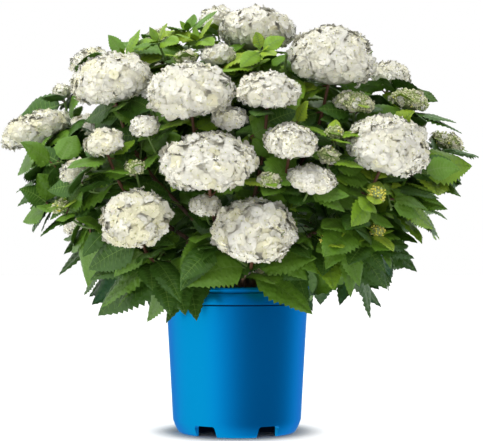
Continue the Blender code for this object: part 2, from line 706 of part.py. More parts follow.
def fuse(stem, parts, solver, merge):
    """The union of a stem and a collection of parts, kept to its one outer body, and if that is closed."""
    union = stem.modifiers.new("union", "BOOLEAN")
    union.operation = "UNION"
    union.operand_type = "COLLECTION"
    union.collection = parts
    union.solver = solver
    mesh = evaluated_mesh(stem)
    stem.modifiers.remove(union)
    bm = bmesh.new()
    bm.from_mesh(mesh)
    bmesh.ops.remove_doubles(bm, verts=bm.verts, dist=merge)
    bmesh.ops.dissolve_degenerate(bm, edges=bm.edges, dist=merge)
    bmesh.ops.triangulate(bm, faces=bm.faces)
    bodies = sorted(islands(bm), key=len)
    bmesh.ops.delete(bm, geom=[face for body in bodies[:-1] for face in body], context="FACES")
    closed = all(len(edge.link_faces) == 2 for edge in bm.edges)
    bm.to_mesh(mesh)
    bm.free()
    return mesh, closed


def add_spray(name, shoots, leaves, rng, home, finishes):
    """One spray: stem, shoots, leaves and flower heads in one solid, with a leaf fewer if it isn't closed."""
    parts = collection("parts_of_" + name)
    stems = []
    for number, shoot in enumerate(shoots):
        start = STEM_RADIUS if number == 0 else STEM_TIP_RADIUS
        points = shoot.points + ([shoot.centre] if shoot.width > 0 else [])
        radii = taper(start, STEM_TIP_RADIUS, len(points))
        stems.append(as_mesh(tube("stem", points, radii, 3, parts), parts))
        if shoot.width > 0:
            add_head(shoot, rng, parts)
    for leaf in leaves:
        add_leaf(leaf, parts)
    parts.objects.unlink(stems[0])
    home.objects.link(stems[0])
    for solver, merge in product(("EXACT", "MANIFOLD"), MERGE_DISTANCES):
        mesh, closed = fuse(stems[0], parts, solver, merge)
        if closed:
            break
    for piece in list(parts.objects) + [stems[0]]:
        bpy.data.objects.remove(piece)
    bpy.data.collections.remove(parts)
    if not closed and leaves:
        return add_spray(name, shoots, leaves[:-1], rng, home, finishes)
    mesh.materials.clear()
    made = object_of(mesh, "spray_" + name, home, *finishes)
    for face in mesh.polygons:
        face.material_index = int(any(in_head(shoot, face.center) for shoot in shoots if shoot.width > 0))
    return made


def build():
    """The whole plant in its pot."""
    for old in list(bpy.data.objects):
        bpy.data.objects.remove(old)
    home = collection("potted_hydrangea")
    cutters = collection("cutters")
    pot(home, cutters)
    potting_mix(home)
    section = bpy.data.curves.new(TWIG_SECTION, "CURVE")
    corners = section.splines.new("POLY")
    corners.points.add(2)
    corners.use_cyclic_u = True
    for number, corner in enumerate(corners.points):
        turn = math.tau * number / 3
        corner.co = (math.cos(turn), math.sin(turn), 0, 1)
    guide = bpy.data.objects.new(TWIG_SECTION, section)
    guide.hide_render = True
    guide.display_type = "WIRE"
    cutters.objects.link(guide)

    ends = {**front_sprays(), **back_sprays()}
    canes = {}
    sprays = {}
    for name in ends:
        canes[name], sprays[name] = grow(ends[name])
    leaves = choose_leaves(canes, sprays)
    bark = material("cane_bark", (0.17, 0.085, 0.045), 0.75)
    finishes = (material("leaf", (0.03, 0.12, 0.02), 0.45), material("petals", (0.86, 0.85, 0.74), 0.6))
    rng = random.Random(19)
    for name in ends:
        add_cane(name, canes[name], home, bark)
        add_spray(name, sprays[name], leaves[name], rng, home, finishes)


build()
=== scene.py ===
"""The potted mophead hydrangea, dressed for the picture: every spray of the source grown again by the same
rule and carried on to finer leaves, florets and buds, in metres in the row's frame.
"""
import math
import random
from collections import defaultdict, namedtuple
from contextlib import contextmanager
from itertools import product

import bmesh
import bpy
import numpy as np
from mathutils import Matrix, Quaternion, Vector
from mathutils.bvhtree import BVHTree
from mathutils.kdtree import KDTree


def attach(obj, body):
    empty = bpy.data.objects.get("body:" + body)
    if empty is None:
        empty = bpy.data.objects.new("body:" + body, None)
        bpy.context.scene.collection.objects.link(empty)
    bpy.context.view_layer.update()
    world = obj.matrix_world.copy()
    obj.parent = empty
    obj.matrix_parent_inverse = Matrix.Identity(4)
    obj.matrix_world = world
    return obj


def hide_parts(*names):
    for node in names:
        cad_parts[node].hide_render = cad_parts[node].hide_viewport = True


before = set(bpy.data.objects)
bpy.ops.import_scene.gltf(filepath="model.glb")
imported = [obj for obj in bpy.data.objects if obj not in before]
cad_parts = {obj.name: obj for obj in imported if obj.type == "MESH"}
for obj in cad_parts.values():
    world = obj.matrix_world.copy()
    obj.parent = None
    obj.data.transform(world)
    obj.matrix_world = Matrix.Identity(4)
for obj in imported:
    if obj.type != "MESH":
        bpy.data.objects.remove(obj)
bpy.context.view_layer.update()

# ---------------------------------------------------------------- camera and light
PHOTO_WIDTH = 483
FOCAL_PIXELS = 1409
SENSOR_WIDTH = 36.0            # in mm
CAMERA_PLACE = (0.0072, -2.25, 0.285)
CAMERA_RISE = 1.26             # degrees above level
DIM_WAY = (0.743, -0.669, 0.0)   # the side of the room that gives the least light
BRIGHT_FROM = -0.25            # the cosine to that way from which the room is at its brightest
ROOM_LIGHT = (0.16, 1.06)      # that glossy things mirror at that side, and opposite it
ROOM_HUES = ((1.0, 1.1, 1.5), (1.0, 1.15, 0.95))   # of the dim and the bright side
ROOM_FILL = 0.56               # the soft light from all round
FLOOR_TINT = (0.66, 0.66, 0.66)
FLOOR_GLOW = 0.75
FLOOR_SHADE = 0.15             # within this radius the floor glows less, and under the pot not at all: a painted shadow round and under the pot
FLOOR_DROP = 0.0002            # of the floor below the pot's foot
FLOOR_RADIUS = 14
WHITE = (1.0, 1.0, 1.0, 1.0)
# Lamps: place, size and power
LAMP_AIM = (0, 0, 0.38)
LAMPS = (("top_soft", (-0.7, -0.9, 2.4), 1.4, 44.0), ("front_soft", (-0.6, -2.6, 1.1), 1.4, 8.0),
         ("back_soft", (1.4, 1.9, 1.8), 1.5, 26.0))
# Which sprays go into which pieces; the last takes the rest
GROUPS = {"front_low": ("right", "centre", "left", "low_left", "low_centre", "low_right", "far_left",
                        "far_right", "centre_right"),
          "front_high": ("top", "upper_right", "right_shoulder", "centre_top", "centre_left", "upper_left",
                         "top_left"),
          "back": ()}

# ---------------------------------------------------------------- the pot
POT_HEIGHT = 0.231
LIP_RADIUS = 0.1148            # outside of the rolled lip
LIP_HEIGHT = 0.0065
BAND_RADIUS = 0.1138           # outside of the band under the lip
BAND_BOTTOM = 0.2035
SHOULDER_RADIUS = 0.1123       # outside of the wall, just under the band
HEEL_RADIUS = 0.1021           # outside of the wall, above the rounded heel
HEEL_HEIGHT = 0.024
FOOT_RADIUS = 0.0933           # outside of the skirt, at the ground
WALL = 0.0022
SKIRT_THICKNESS = 0.0045       # of the ring that the pot stands on
FLOOR_HEIGHT = 0.0185          # underside of the raised floor
NOTCHES = 6                    # drainage notches through the skirt
NOTCH_WIDTH = 0.036
NOTCH_HEIGHT = 0.0172
FIRST_NOTCH = math.radians(30)
MIX_TOP = BAND_BOTTOM
GAP = 0.0003                   # clearance between neighbouring solids

# ---------------------------------------------------------------- the mound that the flower heads stand on
MOUND_HALF_WIDTH = 0.335
MOUND_HALF_DEPTH = 0.290
BACK_HALF_DEPTH = 0.302        # the back flower heads stand a little further out
MOUND_HEART = 0.385            # height of its widest level
MOUND_RISE = 0.255
MOUND_FALL = 0.200
HEAD_LIFT = 2.0                # how much a head turns up from facing straight out of the mound

# The bounds that no leaf reaches out of: oval from above, closing in above and below their widest level
CROWN_HALF_WIDTH = 0.390
CROWN_HALF_DEPTH = 0.386
CROWN_HEART = 0.440
CROWN_RISE = 0.255
CROWN_FALL = 0.235
CROWN_FALL_IN = 0.32           # how far they have closed in at the bottom
CROWN_FALL_CURVE = 1.2
LOWEST_LEAF = 0.172

# ---------------------------------------------------------------- canes, stems and leaves
CANE_FOOT_RADIUS = 0.0036
CANE_TIP_RADIUS = 0.0028
ROOT_FLARE = 1.5               # swelling of a cane's foot
FLARE_HEIGHT = 0.007
FOOT_CIRCLE = 0.078            # the canes' feet stand within this radius
FORK_SHARE = 0.52              # how far along its way a cane gives over to its spray
PATH_HOLD = 0.42               # how far a bending limb keeps to its first and last way
CUT_LENGTH = 0.004             # straight stretch on each side of a cane's end
SIDE_SHOOT_STARTS = (0.30, 0.75, 0.10, 0.52)   # along the lower half of the main shoot

LEAF_LENGTH = 0.118            # stalk and blade
LEAF_SHAPE = 0.64              # width over length
STALK_SHARE = 0.10
WIDEST_SHARE = 0.50
STALK_RADIUS = 0.0028
PAIR_STEP = 0.042
LEAFY_DIP = 0.4                # how much the tip of a leafy shoot turns down
LEADER_SIZE = 0.86             # of the leaf that ends a leafy shoot
PAIR_GROWTH = 0.12             # how much larger each pair is than the one above it
DROOP = (0.10, 0.70)
ROLL = 0.35                    # how far a blade rolls to either side, in radians
LOW_LEVEL = 0.34               # below this, leaves hang more and more over the rim
LOW_SPAN = 0.08
LOW_DROOP = 0.25               # added to the lowest leaves
LOW_TILT = 0.30                # added to how far down they may start out
STEEPEST_WAY = -0.15           # how far down a leaf may start out from its stem
HIGHEST_WAY = 0.45             # and how far up
LIGHT_FROM_SIDE = 0.9          # against 1 from above
TURN_TO_FACE = 0.5             # how much more the front half's blades face the front, and the rest the back

LEAF_STATIONS = (0.25, 0.35, 0.50, 0.62, 0.75, 0.88, 1.0)
LEAF_ANGLES = (68, 84, 100)    # between a leaf and the stem above it, in the order that they are tried
LEAF_TURNS = (0, 22, -22, 44, -44, 68, -68)
LEAF_SHRINKS = (1.0, 0.82, 0.66)
LEAF_SEED = 3
LEAF_CLEARANCE = 0.0026        # that a leaf keeps from other sprays' space
LIMB_CLEARANCE = 0.0085        # from its middle to the middle of a cane
POT_CLEARANCE = 0.004
HEAD_UNDERSIDE = 0.8           # depth of a flower head's lower half, against its upper half
HEAD_SEAT = 0.30               # how far below its middle a stem comes into it, against its thickness
HEAD_VIEW = 0.15               # no leaf stands before a head, this far out
HEAD_CLEAR = 0.85              # and over this much of its width

OPEN, BUD, LEAFY = "open", "bud", "leafy"
UP = Vector((0, 0, 1))
# The most pairs of leaves on a side shoot, how far below its tip the first is, and that pair's size
SHOOT_LEAVES = {OPEN: (2, 0.010, 0.76), BUD: (2, 0.008, 0.70), LEAFY: (1, 0.034, 0.90)}
MAIN_PAIRS = 4                 # on a spray's main shoot

# The sprays that face the front. Each lists the ends of its shoots, the main one first, as
# (sideways, height, width, thickness, kind, nearer): the size is the flower head's, the mound gives its
# depth, and nearer moves it that much towards the front.
FRONT_SPRAYS = {
    "top": ((0.032, 0.628, 0.116, 0.074, OPEN, -0.03), (-0.032, 0.657, 0.056, 0.045, OPEN, -0.02),
            (-0.028, 0.580, 0.050, 0.036, OPEN, -0.05), (0.036, 0.578, 0.0, 0.0, LEAFY, 0.0),
            (-0.060, 0.604, 0.0, 0.0, LEAFY, -0.03)),
    "upper_right": ((0.142, 0.570, 0.126, 0.098, OPEN, 0.0), (0.074, 0.578, 0.0, 0.0, LEAFY, -0.01)),
    "right_shoulder": ((0.247, 0.565, 0.062, 0.050, OPEN, -0.01), (0.264, 0.514, 0.056, 0.034, BUD, 0.0),
                       (0.174, 0.503, 0.056, 0.030, BUD, -0.03), (0.262, 0.468, 0.0, 0.0, LEAFY, 0.0)),
    "right": ((0.218, 0.434, 0.120, 0.092, OPEN, 0.0), (0.131, 0.420, 0.030, 0.024, BUD, -0.02),
              (0.140, 0.455, 0.026, 0.020, BUD, -0.02)),
    "far_right": ((0.330, 0.455, 0.050, 0.030, BUD, 0.04), (0.282, 0.400, 0.0, 0.0, LEAFY, 0.02),
                  (0.222, 0.345, 0.0, 0.0, LEAFY, 0.02), (0.190, 0.300, 0.0, 0.0, LEAFY, -0.19),
                  (0.322, 0.412, 0.0, 0.0, LEAFY, 0.0), (0.272, 0.340, 0.0, 0.0, LEAFY, 0.0)),
    "centre_top": ((0.045, 0.512, 0.088, 0.054, OPEN, 0.0), (0.018, 0.450, 0.0, 0.0, LEAFY, -0.03),
                   (0.092, 0.470, 0.0, 0.0, LEAFY, -0.02)),
    "centre_right": ((0.076, 0.438, 0.074, 0.050, OPEN, 0.0), (0.106, 0.386, 0.066, 0.034, OPEN, 0.0),
                     (0.046, 0.384, 0.032, 0.020, BUD, -0.01)),
    "centre": ((-0.040, 0.408, 0.132, 0.076, OPEN, 0.0), (-0.044, 0.350, 0.042, 0.030, OPEN, -0.03),
               (-0.105, 0.425, 0.0, 0.0, LEAFY, -0.04)),
    "centre_left": ((-0.066, 0.510, 0.120, 0.084, OPEN, 0.0), (-0.130, 0.462, 0.040, 0.032, OPEN, -0.01),
                    (-0.010, 0.474, 0.048, 0.034, OPEN, -0.03)),
    "upper_left": ((-0.185, 0.535, 0.118, 0.082, OPEN, 0.0), (-0.236, 0.590, 0.064, 0.046, OPEN, -0.02),
                   (-0.122, 0.492, 0.0, 0.0, LEAFY, -0.03)),
    "top_left": ((-0.123, 0.620, 0.040, 0.026, BUD, 0.0), (-0.076, 0.572, 0.030, 0.020, BUD, -0.02),
                 (-0.075, 0.622, 0.0, 0.0, LEAFY, 0.0), (-0.170, 0.578, 0.0, 0.0, LEAFY, 0.0),
                 (-0.118, 0.598, 0.0, 0.0, LEAFY, 0.01)),
    "far_left": ((-0.315, 0.474, 0.106, 0.056, OPEN, 0.05), (-0.280, 0.540, 0.030, 0.024, OPEN, 0.0),
                 (-0.275, 0.412, 0.0, 0.0, LEAFY, 0.02), (-0.190, 0.300, 0.0, 0.0, LEAFY, -0.19),
                 (-0.288, 0.348, 0.0, 0.0, LEAFY, 0.0)),
    "left": ((-0.190, 0.440, 0.056, 0.042, OPEN, 0.0), (-0.145, 0.404, 0.030, 0.020, BUD, -0.03),
             (-0.234, 0.400, 0.044, 0.034, OPEN, 0.0), (-0.260, 0.350, 0.024, 0.020, BUD, 0.0)),
    "low_left": ((-0.144, 0.328, 0.096, 0.086, OPEN, 0.0), (-0.200, 0.312, 0.0, 0.0, LEAFY, 0.0),
                 (-0.150, 0.258, 0.0, 0.0, LEAFY, 0.0), (-0.112, 0.274, 0.0, 0.0, LEAFY, 0.0)),
    "low_centre": ((0.024, 0.312, 0.114, 0.086, OPEN, 0.0), (0.038, 0.258, 0.024, 0.018, OPEN, -0.03),
                   (-0.054, 0.288, 0.0, 0.0, LEAFY, 0.0), (0.102, 0.288, 0.0, 0.0, LEAFY, 0.0),
                   (-0.058, 0.302, 0.0, 0.0, LEAFY, -0.04), (0.098, 0.306, 0.0, 0.0, LEAFY, -0.04)),
    "low_right": ((0.200, 0.366, 0.024, 0.022, BUD, 0.01), (0.204, 0.314, 0.022, 0.020, BUD, 0.0),
                  (0.130, 0.300, 0.018, 0.016, BUD, 0.0), (0.148, 0.275, 0.0, 0.0, LEAFY, 0.0),
                  (0.222, 0.283, 0.0, 0.0, LEAFY, 0.0), (0.176, 0.262, 0.0, 0.0, LEAFY, -0.02)),
}
# The rings of sprays round the back, as (height, sprays, first and last bearing from the front in degrees,
# and how much higher the smaller heads stand between them)
BACK_RINGS = ((0.345, 4, 132, 228, 0.070), (0.480, 3, 122, 238, 0.010), (0.588, 3, 122, 238, 0.005))
BACK_HEAD_WIDTH = (0.098, 0.124)
BACK_SIDE_WIDTH = (0.044, 0.068)
HEAD_FULLNESS = 0.72           # thickness over width of a back head

Shoot = namedtuple("Shoot", "main points width thickness kind centre axis")
Leaf = namedtuple("Leaf", "root way droop length light")


# ---------------------------------------------------------------- the mound
def mound_reach(height):
    """How wide the mound is at a height, as a share of its widest level."""
    span = MOUND_RISE if height > MOUND_HEART else MOUND_FALL
    return math.sqrt(max(0.0, 1 - ((height - MOUND_HEART) / span) ** 2))


def front_point(side, height, nearer):
    """The mound's front surface at a sideways place and height."""
    rest = mound_reach(height) ** 2 - (side / MOUND_HALF_WIDTH) ** 2
    return Vector((side, -MOUND_HALF_DEPTH * math.sqrt(max(0.0, rest)) - nearer, height))


def ring_point(bearing, height):
    """The mound's back surface at a bearing from the front, clockwise from above."""
    reach = mound_reach(height)
    return Vector((MOUND_HALF_WIDTH * reach * math.sin(bearing),
                   -BACK_HALF_DEPTH * reach * math.cos(bearing), height))


def outward(point):
    """The direction that the mound's surface faces, at a point on or near it."""
    span = MOUND_RISE if point.z > MOUND_HEART else MOUND_FALL
    return Vector((point.x / MOUND_HALF_WIDTH ** 2, point.y / MOUND_HALF_DEPTH ** 2,
                   (point.z - MOUND_HEART) / span ** 2)).normalized()


def in_crown(point):
    """Whether a point lies within the bounds of the crown."""
    if point.z < LOWEST_LEAF:
        return False
    if point.z > CROWN_HEART:
        room = 1 - ((point.z - CROWN_HEART) / CROWN_RISE) ** 2
    else:
        room = 1 - CROWN_FALL_IN * ((CROWN_HEART - point.z) / CROWN_FALL) ** CROWN_FALL_CURVE
    return math.hypot(point.x / CROWN_HALF_WIDTH, point.y / CROWN_HALF_DEPTH) < room


def head_axis(centre):
    """The way a flower head faces."""
    return (outward(centre) + HEAD_LIFT * UP).normalized()


# ---------------------------------------------------------------- ways of growing
def bend(start, start_way, end, end_way, share):
    """A point on the smooth path that leaves start along one way and comes into end along the other."""
    hold = PATH_HOLD * (end - start).length
    first = start + start_way * hold
    last = end - end_way * hold
    rest = 1 - share
    return (start * rest ** 3 + first * (3 * rest * rest * share)
            + last * (3 * rest * share * share) + end * share ** 3)


def bend_points(start, start_way, end, end_way, first, last, steps):
    """Points along such a path, from one share of it to another."""
    return [bend(start, start_way, end, end_way, first + (last - first) * step / steps)
            for step in range(steps + 1)]


def back_sprays():
    """The sprays round the back: the ends of their shoots, by ring, with a smaller head after each."""
    rng = random.Random(41)
    sprays = {}
    for height, count, first, last, side_rise in BACK_RINGS:
        turn = math.radians((last - first) / (count - 1))
        for number in range(count):
            bearing = math.radians(first) + turn * number
            centre = ring_point(bearing, height + rng.uniform(-0.010, 0.010))
            width = rng.uniform(*BACK_HEAD_WIDTH)
            ends = [(centre, width, width * HEAD_FULLNESS, OPEN)]
            if number < count - 1:
                side = ring_point(bearing + 0.5 * turn, height + side_rise)
                small = rng.uniform(*BACK_SIDE_WIDTH)
                ends.append((side, small, small * HEAD_FULLNESS, OPEN))
            sprays["back_%d" % (len(sprays) + 1)] = ends
    return sprays


def front_sprays():
    """The sprays that face the front: the ends of their shoots."""
    return {name: [(front_point(side, height, nearer), width, thickness, kind)
                   for side, height, width, thickness, kind, nearer in ends]
            for name, ends in FRONT_SPRAYS.items()}


def cane_foot(centre):
    """Where the cane of a spray stands: under low sprays near the pot's wall, under high ones inside."""
    low, high = 0.30, 0.68
    spread = min(1.0, max(0.12, (high - centre.z) / (high - low)))
    level = Vector((centre.x, centre.y, 0)).normalized()
    return level * (FOOT_CIRCLE * spread) + UP * (MIX_TOP + GAP)


def head_base(centre, axis, thickness):
    """Where the stem comes into a flower head's underside."""
    return centre - axis * (HEAD_SEAT * thickness)


def grow(ends):
    """A spray's cane and shoots, each a list of points with the flower head that ends it."""
    centre, width, thickness, kind = ends[0]
    foot = cane_foot(centre)
    axis = head_axis(centre)
    base = head_base(centre, axis, thickness)
    cane = bend_points(foot, UP, base, axis, 0.0, FORK_SHARE, 3)
    stem = bend_points(foot, UP, base, axis, FORK_SHARE, 1.0, 3)
    way = (stem[1] - cane[-2]).normalized()
    fork = cane[-1].copy()
    cane[-1:] = [fork - way * CUT_LENGTH, fork]
    stem[0:1] = [fork + way * GAP, fork + way * (GAP + CUT_LENGTH)]
    shoots = [Shoot(True, stem, width, thickness, kind, centre, axis)]
    for number, (centre, width, thickness, kind) in enumerate(ends[1:]):
        start = stem[1].lerp(stem[3], SIDE_SHOOT_STARTS[number % len(SIDE_SHOOT_STARTS)])
        axis = head_axis(centre)
        if kind == LEAFY:
            axis = (outward(centre) - LEAFY_DIP * UP).normalized()
        base = head_base(centre, axis, thickness)
        start_way = ((stem[3] - stem[1]).normalized() + (base - start).normalized()).normalized()
        points = bend_points(start, start_way, base, axis, 0.0, 1.0, 3)
        shoots.append(Shoot(False, points, width, thickness, kind, centre, axis))
    return cane, shoots


def along_points(points, distance):
    """The point and direction at a distance back from the end of a line of points."""
    for end, start in zip(points[::-1], points[-2::-1]):
        run = (end - start).length
        if distance <= run:
            return end.lerp(start, distance / run), (end - start).normalized()
        distance -= run
    return None


def leaf_point(leaf, share, across=0.0):
    """A point of a leaf: share runs from its root to its tip, across is metres to the side."""
    fall = Vector((0, 0, -leaf.droop))
    place = leaf.root + (leaf.way * share + fall * (0.5 * share * share)) * leaf.length
    along = (leaf.way + fall * share).normalized()
    face = (leaf.light - along * leaf.light.dot(along)).normalized()
    return place + along.cross(face) * across, face


def half_width(leaf, share):
    """Half the width of a leaf at a share of its length."""
    if share < STALK_SHARE:
        return STALK_RADIUS
    if share < WIDEST_SHARE:
        rise = (share - STALK_SHARE) / (WIDEST_SHARE - STALK_SHARE)
    else:
        rise = (1 - share) / (1 - WIDEST_SHARE)
    return 0.5 * LEAF_SHAPE * leaf.length * rise


def leaf_reach(leaf):
    """Points all over a leaf's blade."""
    places = [leaf_point(leaf, share)[0] for share in LEAF_STATIONS]
    for share in LEAF_STATIONS[:-1]:
        for side in (-1, 1):
            places.append(leaf_point(leaf, share, side * half_width(leaf, share))[0])
    return places


def shoot_leaves(shoot, rng):
    """The leaves that a shoot would bear, from its tip down: root, stem way, side, size, droop and roll."""
    most, first, smallest = SHOOT_LEAVES[shoot.kind]
    most = MAIN_PAIRS if shoot.main else most
    turn = rng.uniform(0, math.pi)
    leaves = []
    if shoot.kind == LEAFY:
        tip_way = (shoot.points[-1] - shoot.points[-2]).normalized()
        leaves.append((shoot.points[-1], tip_way, tip_way, LEADER_SIZE, rng.uniform(*DROOP), 0.0))
    for pair in range(most):
        found = along_points(shoot.points, first + PAIR_STEP * pair)
        if not found:
            break
        root, stem_way = found
        side = stem_way.orthogonal().normalized()
        size = min(1.0, smallest + PAIR_GROWTH * pair)
        for half in (0, 1):
            around = Quaternion(stem_way, turn + math.pi * half + rng.uniform(-0.2, 0.2))
            leaves.append((root, stem_way, around @ side, size * rng.uniform(0.92, 1.08),
                           rng.uniform(*DROOP), rng.uniform(-ROLL, ROLL)))
        turn += math.pi / 2
    return leaves


def try_leaf(root, stem_way, side, size, droop, roll, turn, open_angle, shrink):
    """One way for a leaf to stand: turned round the stem, opened from it, and shrunk."""
    level = Quaternion(stem_way, math.radians(turn)) @ side
    angle = math.radians(open_angle)
    way = stem_way * math.cos(angle) + level * math.sin(angle)
    low = min(1.0, max(0.0, (LOW_LEVEL - root.z) / LOW_SPAN))
    way.z = min(HIGHEST_WAY, max(way.z, STEEPEST_WAY - LOW_TILT * low))
    way.normalize()
    out = outward(root)
    light = Vector((out.x, out.y, 0)) * LIGHT_FROM_SIDE + UP
    light.y += math.copysign(TURN_TO_FACE, root.y)
    light.normalize()
    length = LEAF_LENGTH * size * shrink
    return Leaf(root, way, droop + LOW_DROOP * low, length, Quaternion(way, roll) @ light)


# ---------------------------------------------------------------- the space that each spray keeps to
class Space:
    """Whose space a point is in: that of the spray whose stems and flower heads are nearest."""

    def __init__(self, canes, sprays):
        self.clearance = LEAF_CLEARANCE
        self.heads = [shoot for shoots in sprays.values() for shoot in shoots if shoot.width > 0]
        held = {name: [] for name in sprays}
        for name, shoots in sprays.items():
            for shoot in shoots:
                held[name] += fill_in(shoot.points)
                if shoot.width > 0:
                    held[name] += head_surface(shoot)
        self.own = {name: tree_of(held[name]) for name in sprays}
        self.others = {name: tree_of([place for other in sprays if other != name for place in held[other]])
                       for name in sprays}
        self.limbs = tree_of([place for cane in canes.values() for place in fill_in(cane)])

    def allows(self, name, places):
        """Whether all these points lie in the spray's own space, clear of canes, pot and flower heads."""
        own, others = self.own[name], self.others[name]
        for place in places:
            if not in_crown(place):
                return False
            if place.z < POT_HEIGHT + POT_CLEARANCE and place.xy.length < LIP_RADIUS + POT_CLEARANCE:
                return False
            if own.find(place)[2] + self.clearance > others.find(place)[2]:
                return False
            if self.limbs.find(place)[2] < LIMB_CLEARANCE:
                return False
        return not any(in_head(head, place) or before_head(head, place)
                       for head in self.heads for place in places)


def tree_of(places):
    """A search tree of points."""
    tree = KDTree(len(places))
    for number, place in enumerate(places):
        tree.insert(place, number)
    tree.balance()
    return tree


def fill_in(points, step=0.006):
    """Points every few millimetres along a line of points."""
    places = []
    for start, end in zip(points, points[1:]):
        count = max(1, round((end - start).length / step))
        places += [start.lerp(end, number / count) for number in range(count)]
    return places + [points[-1]]


def head_frame(shoot):
    """Two directions across a flower head."""
    side = shoot.axis.orthogonal().normalized()
    return side, shoot.axis.cross(side)


def head_surface(shoot):
    """Points spread over a flower head."""
    side, front = head_frame(shoot)
    places = []
    for ring in range(1, 8):
        slope = math.pi * ring / 8
        for step in range(12):
            turn = math.tau * step / 12
            reach = 0.5 * shoot.width * math.sin(slope)
            rise = 0.5 * shoot.thickness * math.cos(slope) * (1 if ring < 4 else HEAD_UNDERSIDE)
            places.append(shoot.centre + shoot.axis * rise
                          + (side * math.cos(turn) + front * math.sin(turn)) * reach)
    return places


def in_head(shoot, place):
    """Whether a point lies in a flower head."""
    step = place - shoot.centre
    if step.length > 0.5 * shoot.width:
        return False
    rise = step.dot(shoot.axis)
    reach = (step - shoot.axis * rise).length
    half = 0.5 * shoot.thickness * (HEAD_UNDERSIDE if rise < 0 else 1)
    return math.hypot(rise / half, reach / (0.5 * shoot.width)) < 1


def before_head(shoot, place):
    """Whether a point stands in the way of the view of a flower head from outside the mound."""
    out = outward(shoot.centre)
    step = place - shoot.centre
    rise = step.dot(out)
    return 0 < rise < HEAD_VIEW and (step - out * rise).length < HEAD_CLEAR * 0.5 * shoot.width


def blade(leaf):
    """A leaf's blade as a thin sheet, to find what it would cross."""
    half = half_width(leaf, WIDEST_SHARE)
    places = [leaf_point(leaf, STALK_SHARE)[0], leaf_point(leaf, WIDEST_SHARE, -half)[0],
              leaf_point(leaf, WIDEST_SHARE)[0], leaf_point(leaf, WIDEST_SHARE, half)[0],
              leaf_point(leaf, 1.0)[0]]
    return BVHTree.FromPolygons(places, ((0, 1, 2), (0, 2, 3), (1, 4, 2), (2, 4, 3)))


def choose_leaves(canes, sprays):
    """Each spray's leaves: each stands in the first way that keeps to the spray's space, or is left out."""
    space = Space(canes, sprays)
    chosen = {}
    for name, shoots in sprays.items():
        rng = random.Random("%s %d" % (name, LEAF_SEED))
        chosen[name] = []
        blades = []
        for shoot in shoots:
            for root, stem_way, side, size, droop, roll in shoot_leaves(shoot, rng):
                for shrink, angle, turn in product(LEAF_SHRINKS, LEAF_ANGLES, LEAF_TURNS):
                    leaf = try_leaf(root, stem_way, side, size, droop, roll, turn, angle, shrink)
                    sheet = blade(leaf)
                    if space.allows(name, leaf_reach(leaf)) and not any(map(sheet.overlap, blades)):
                        chosen[name].append(leaf)
                        blades.append(sheet)
                        break
    return chosen


def wall_radius(height):
    """The outside of the pot's wall at a height, from the rounded heel to the band."""
    if height < HEEL_HEIGHT:
        share = height / HEEL_HEIGHT
        return FOOT_RADIUS + (HEEL_RADIUS - FOOT_RADIUS) * math.sin(0.5 * math.pi * share)
    share = (height - HEEL_HEIGHT) / (BAND_BOTTOM - HEEL_HEIGHT)
    return HEEL_RADIUS + (SHOULDER_RADIUS - HEEL_RADIUS) * share


# ---------------------------------------------------------------- finer growth for the picture
FINE_STEP = 0.019              # between pairs of the leaves that fill the crown in
FINE_PAIRS = 10
FINE_START = 0.012             # how far below a tip the first pair is
FINE_SWAY = 0.3                # of a leaf round the stem, out of its pair, in radians
FINE_SIZE = (0.46, 0.90)       # of such a leaf, against LEAF_LENGTH
FINE_CLEARANCE = 0.0005
FINE_DROOP = (0.1, 1.0)
FINE_ROLL = 0.65
FINE_ANGLES = (60, 80, 96, 112)
FINE_TURNS = (0, 30, -30, 60, -60, 85)
FINE_SHRINKS = (1.0, 0.78, 0.6)
BARE_RIM = ((-0.026, 0.074), -0.09, 0.243)   # where no finer leaf hangs: across, before and below
FINE_VIEW = 1.12               # no such leaf stands before a head, over this much of its width
CANE_PAIRS = 5                 # of such leaves at most, on the upper stretch of a cane
OPEN_HEM = (0.30, 0.35)        # below this height, this share of such leaves is left out
# The pairs of young leaves at a shoot's tip, round a bud and where it ends in them alone: the least and
# greatest length, how steeply they stand, and their width over length
YOUNG_PAIRS = {BUD: ((0.044, 0.060, 0.5, 0.60), (0.026, 0.040, 1.0, 0.56)),
               LEAFY: ((0.050, 0.062, 0.45, 0.54), (0.044, 0.056, 1.0, 0.46), (0.026, 0.036, 2.0, 0.40))}
YOUNG_START = 0.036            # how far below such a tip the other leaves start
YOUNG_SWAY = 0.2               # of a young leaf round the stem, in radians
YOUNG_DROOP = (0.2, 0.7)
YOUNG_SPREAD = (0.7, 1.3)      # of how steeply one stands, against its pair
YOUNG_LIGHT = (1.2, 0.3)       # their upper sides face along the shoot, and a little in to it
SMOOTH_STEPS = 6               # points on each stretch of a smoothed limb
PINHOLE = 0.02                 # radius of the hole at a ball's pole, against the ball's
SEAM_WAY = (0.31, 0.95, 0.05)  # a tube's first corner lies square to this and to its way

SMALL_LEAF = 0.060             # length under which a leaf has fewer veins and faces
TINY_LEAF = 0.045              # and under which it has its midrib alone
VEINS = (8, 11)                # pairs of side veins on a small and a large leaf
LEAF_COLUMNS = ((-1.0, -0.52, 0.0, 0.52, 1.0), (-1.0, -0.64, -0.28, 0.0, 0.28, 0.64, 1.0))
VEIN_SLANT = 0.30              # how far a side vein runs on towards the tip, as a share of the blade
SLANT_POWERS = (0.6, 1.2)      # how the slant sets in from the stalk and fades out at the tip
LEAF_FULLNESS = 0.93           # of the blade against the solid's widest
ROW_CROWDING = 0.92            # of a blade's rows towards its tip: 1 spaces them evenly
TOOTH = 0.080                  # of half the width
TEETH_FROM = 0.9               # of half the width, where the teeth begin
PUFF = 0.016                   # rise of the blade between its veins, as a share of its length
PUFF_SPAN = 1.1                # above 1, these cushions end before the margin
FOLD = 0.16                    # how far the halves of a blade stand up from its midrib
CURL = 0.22                    # how far its margin turns down again
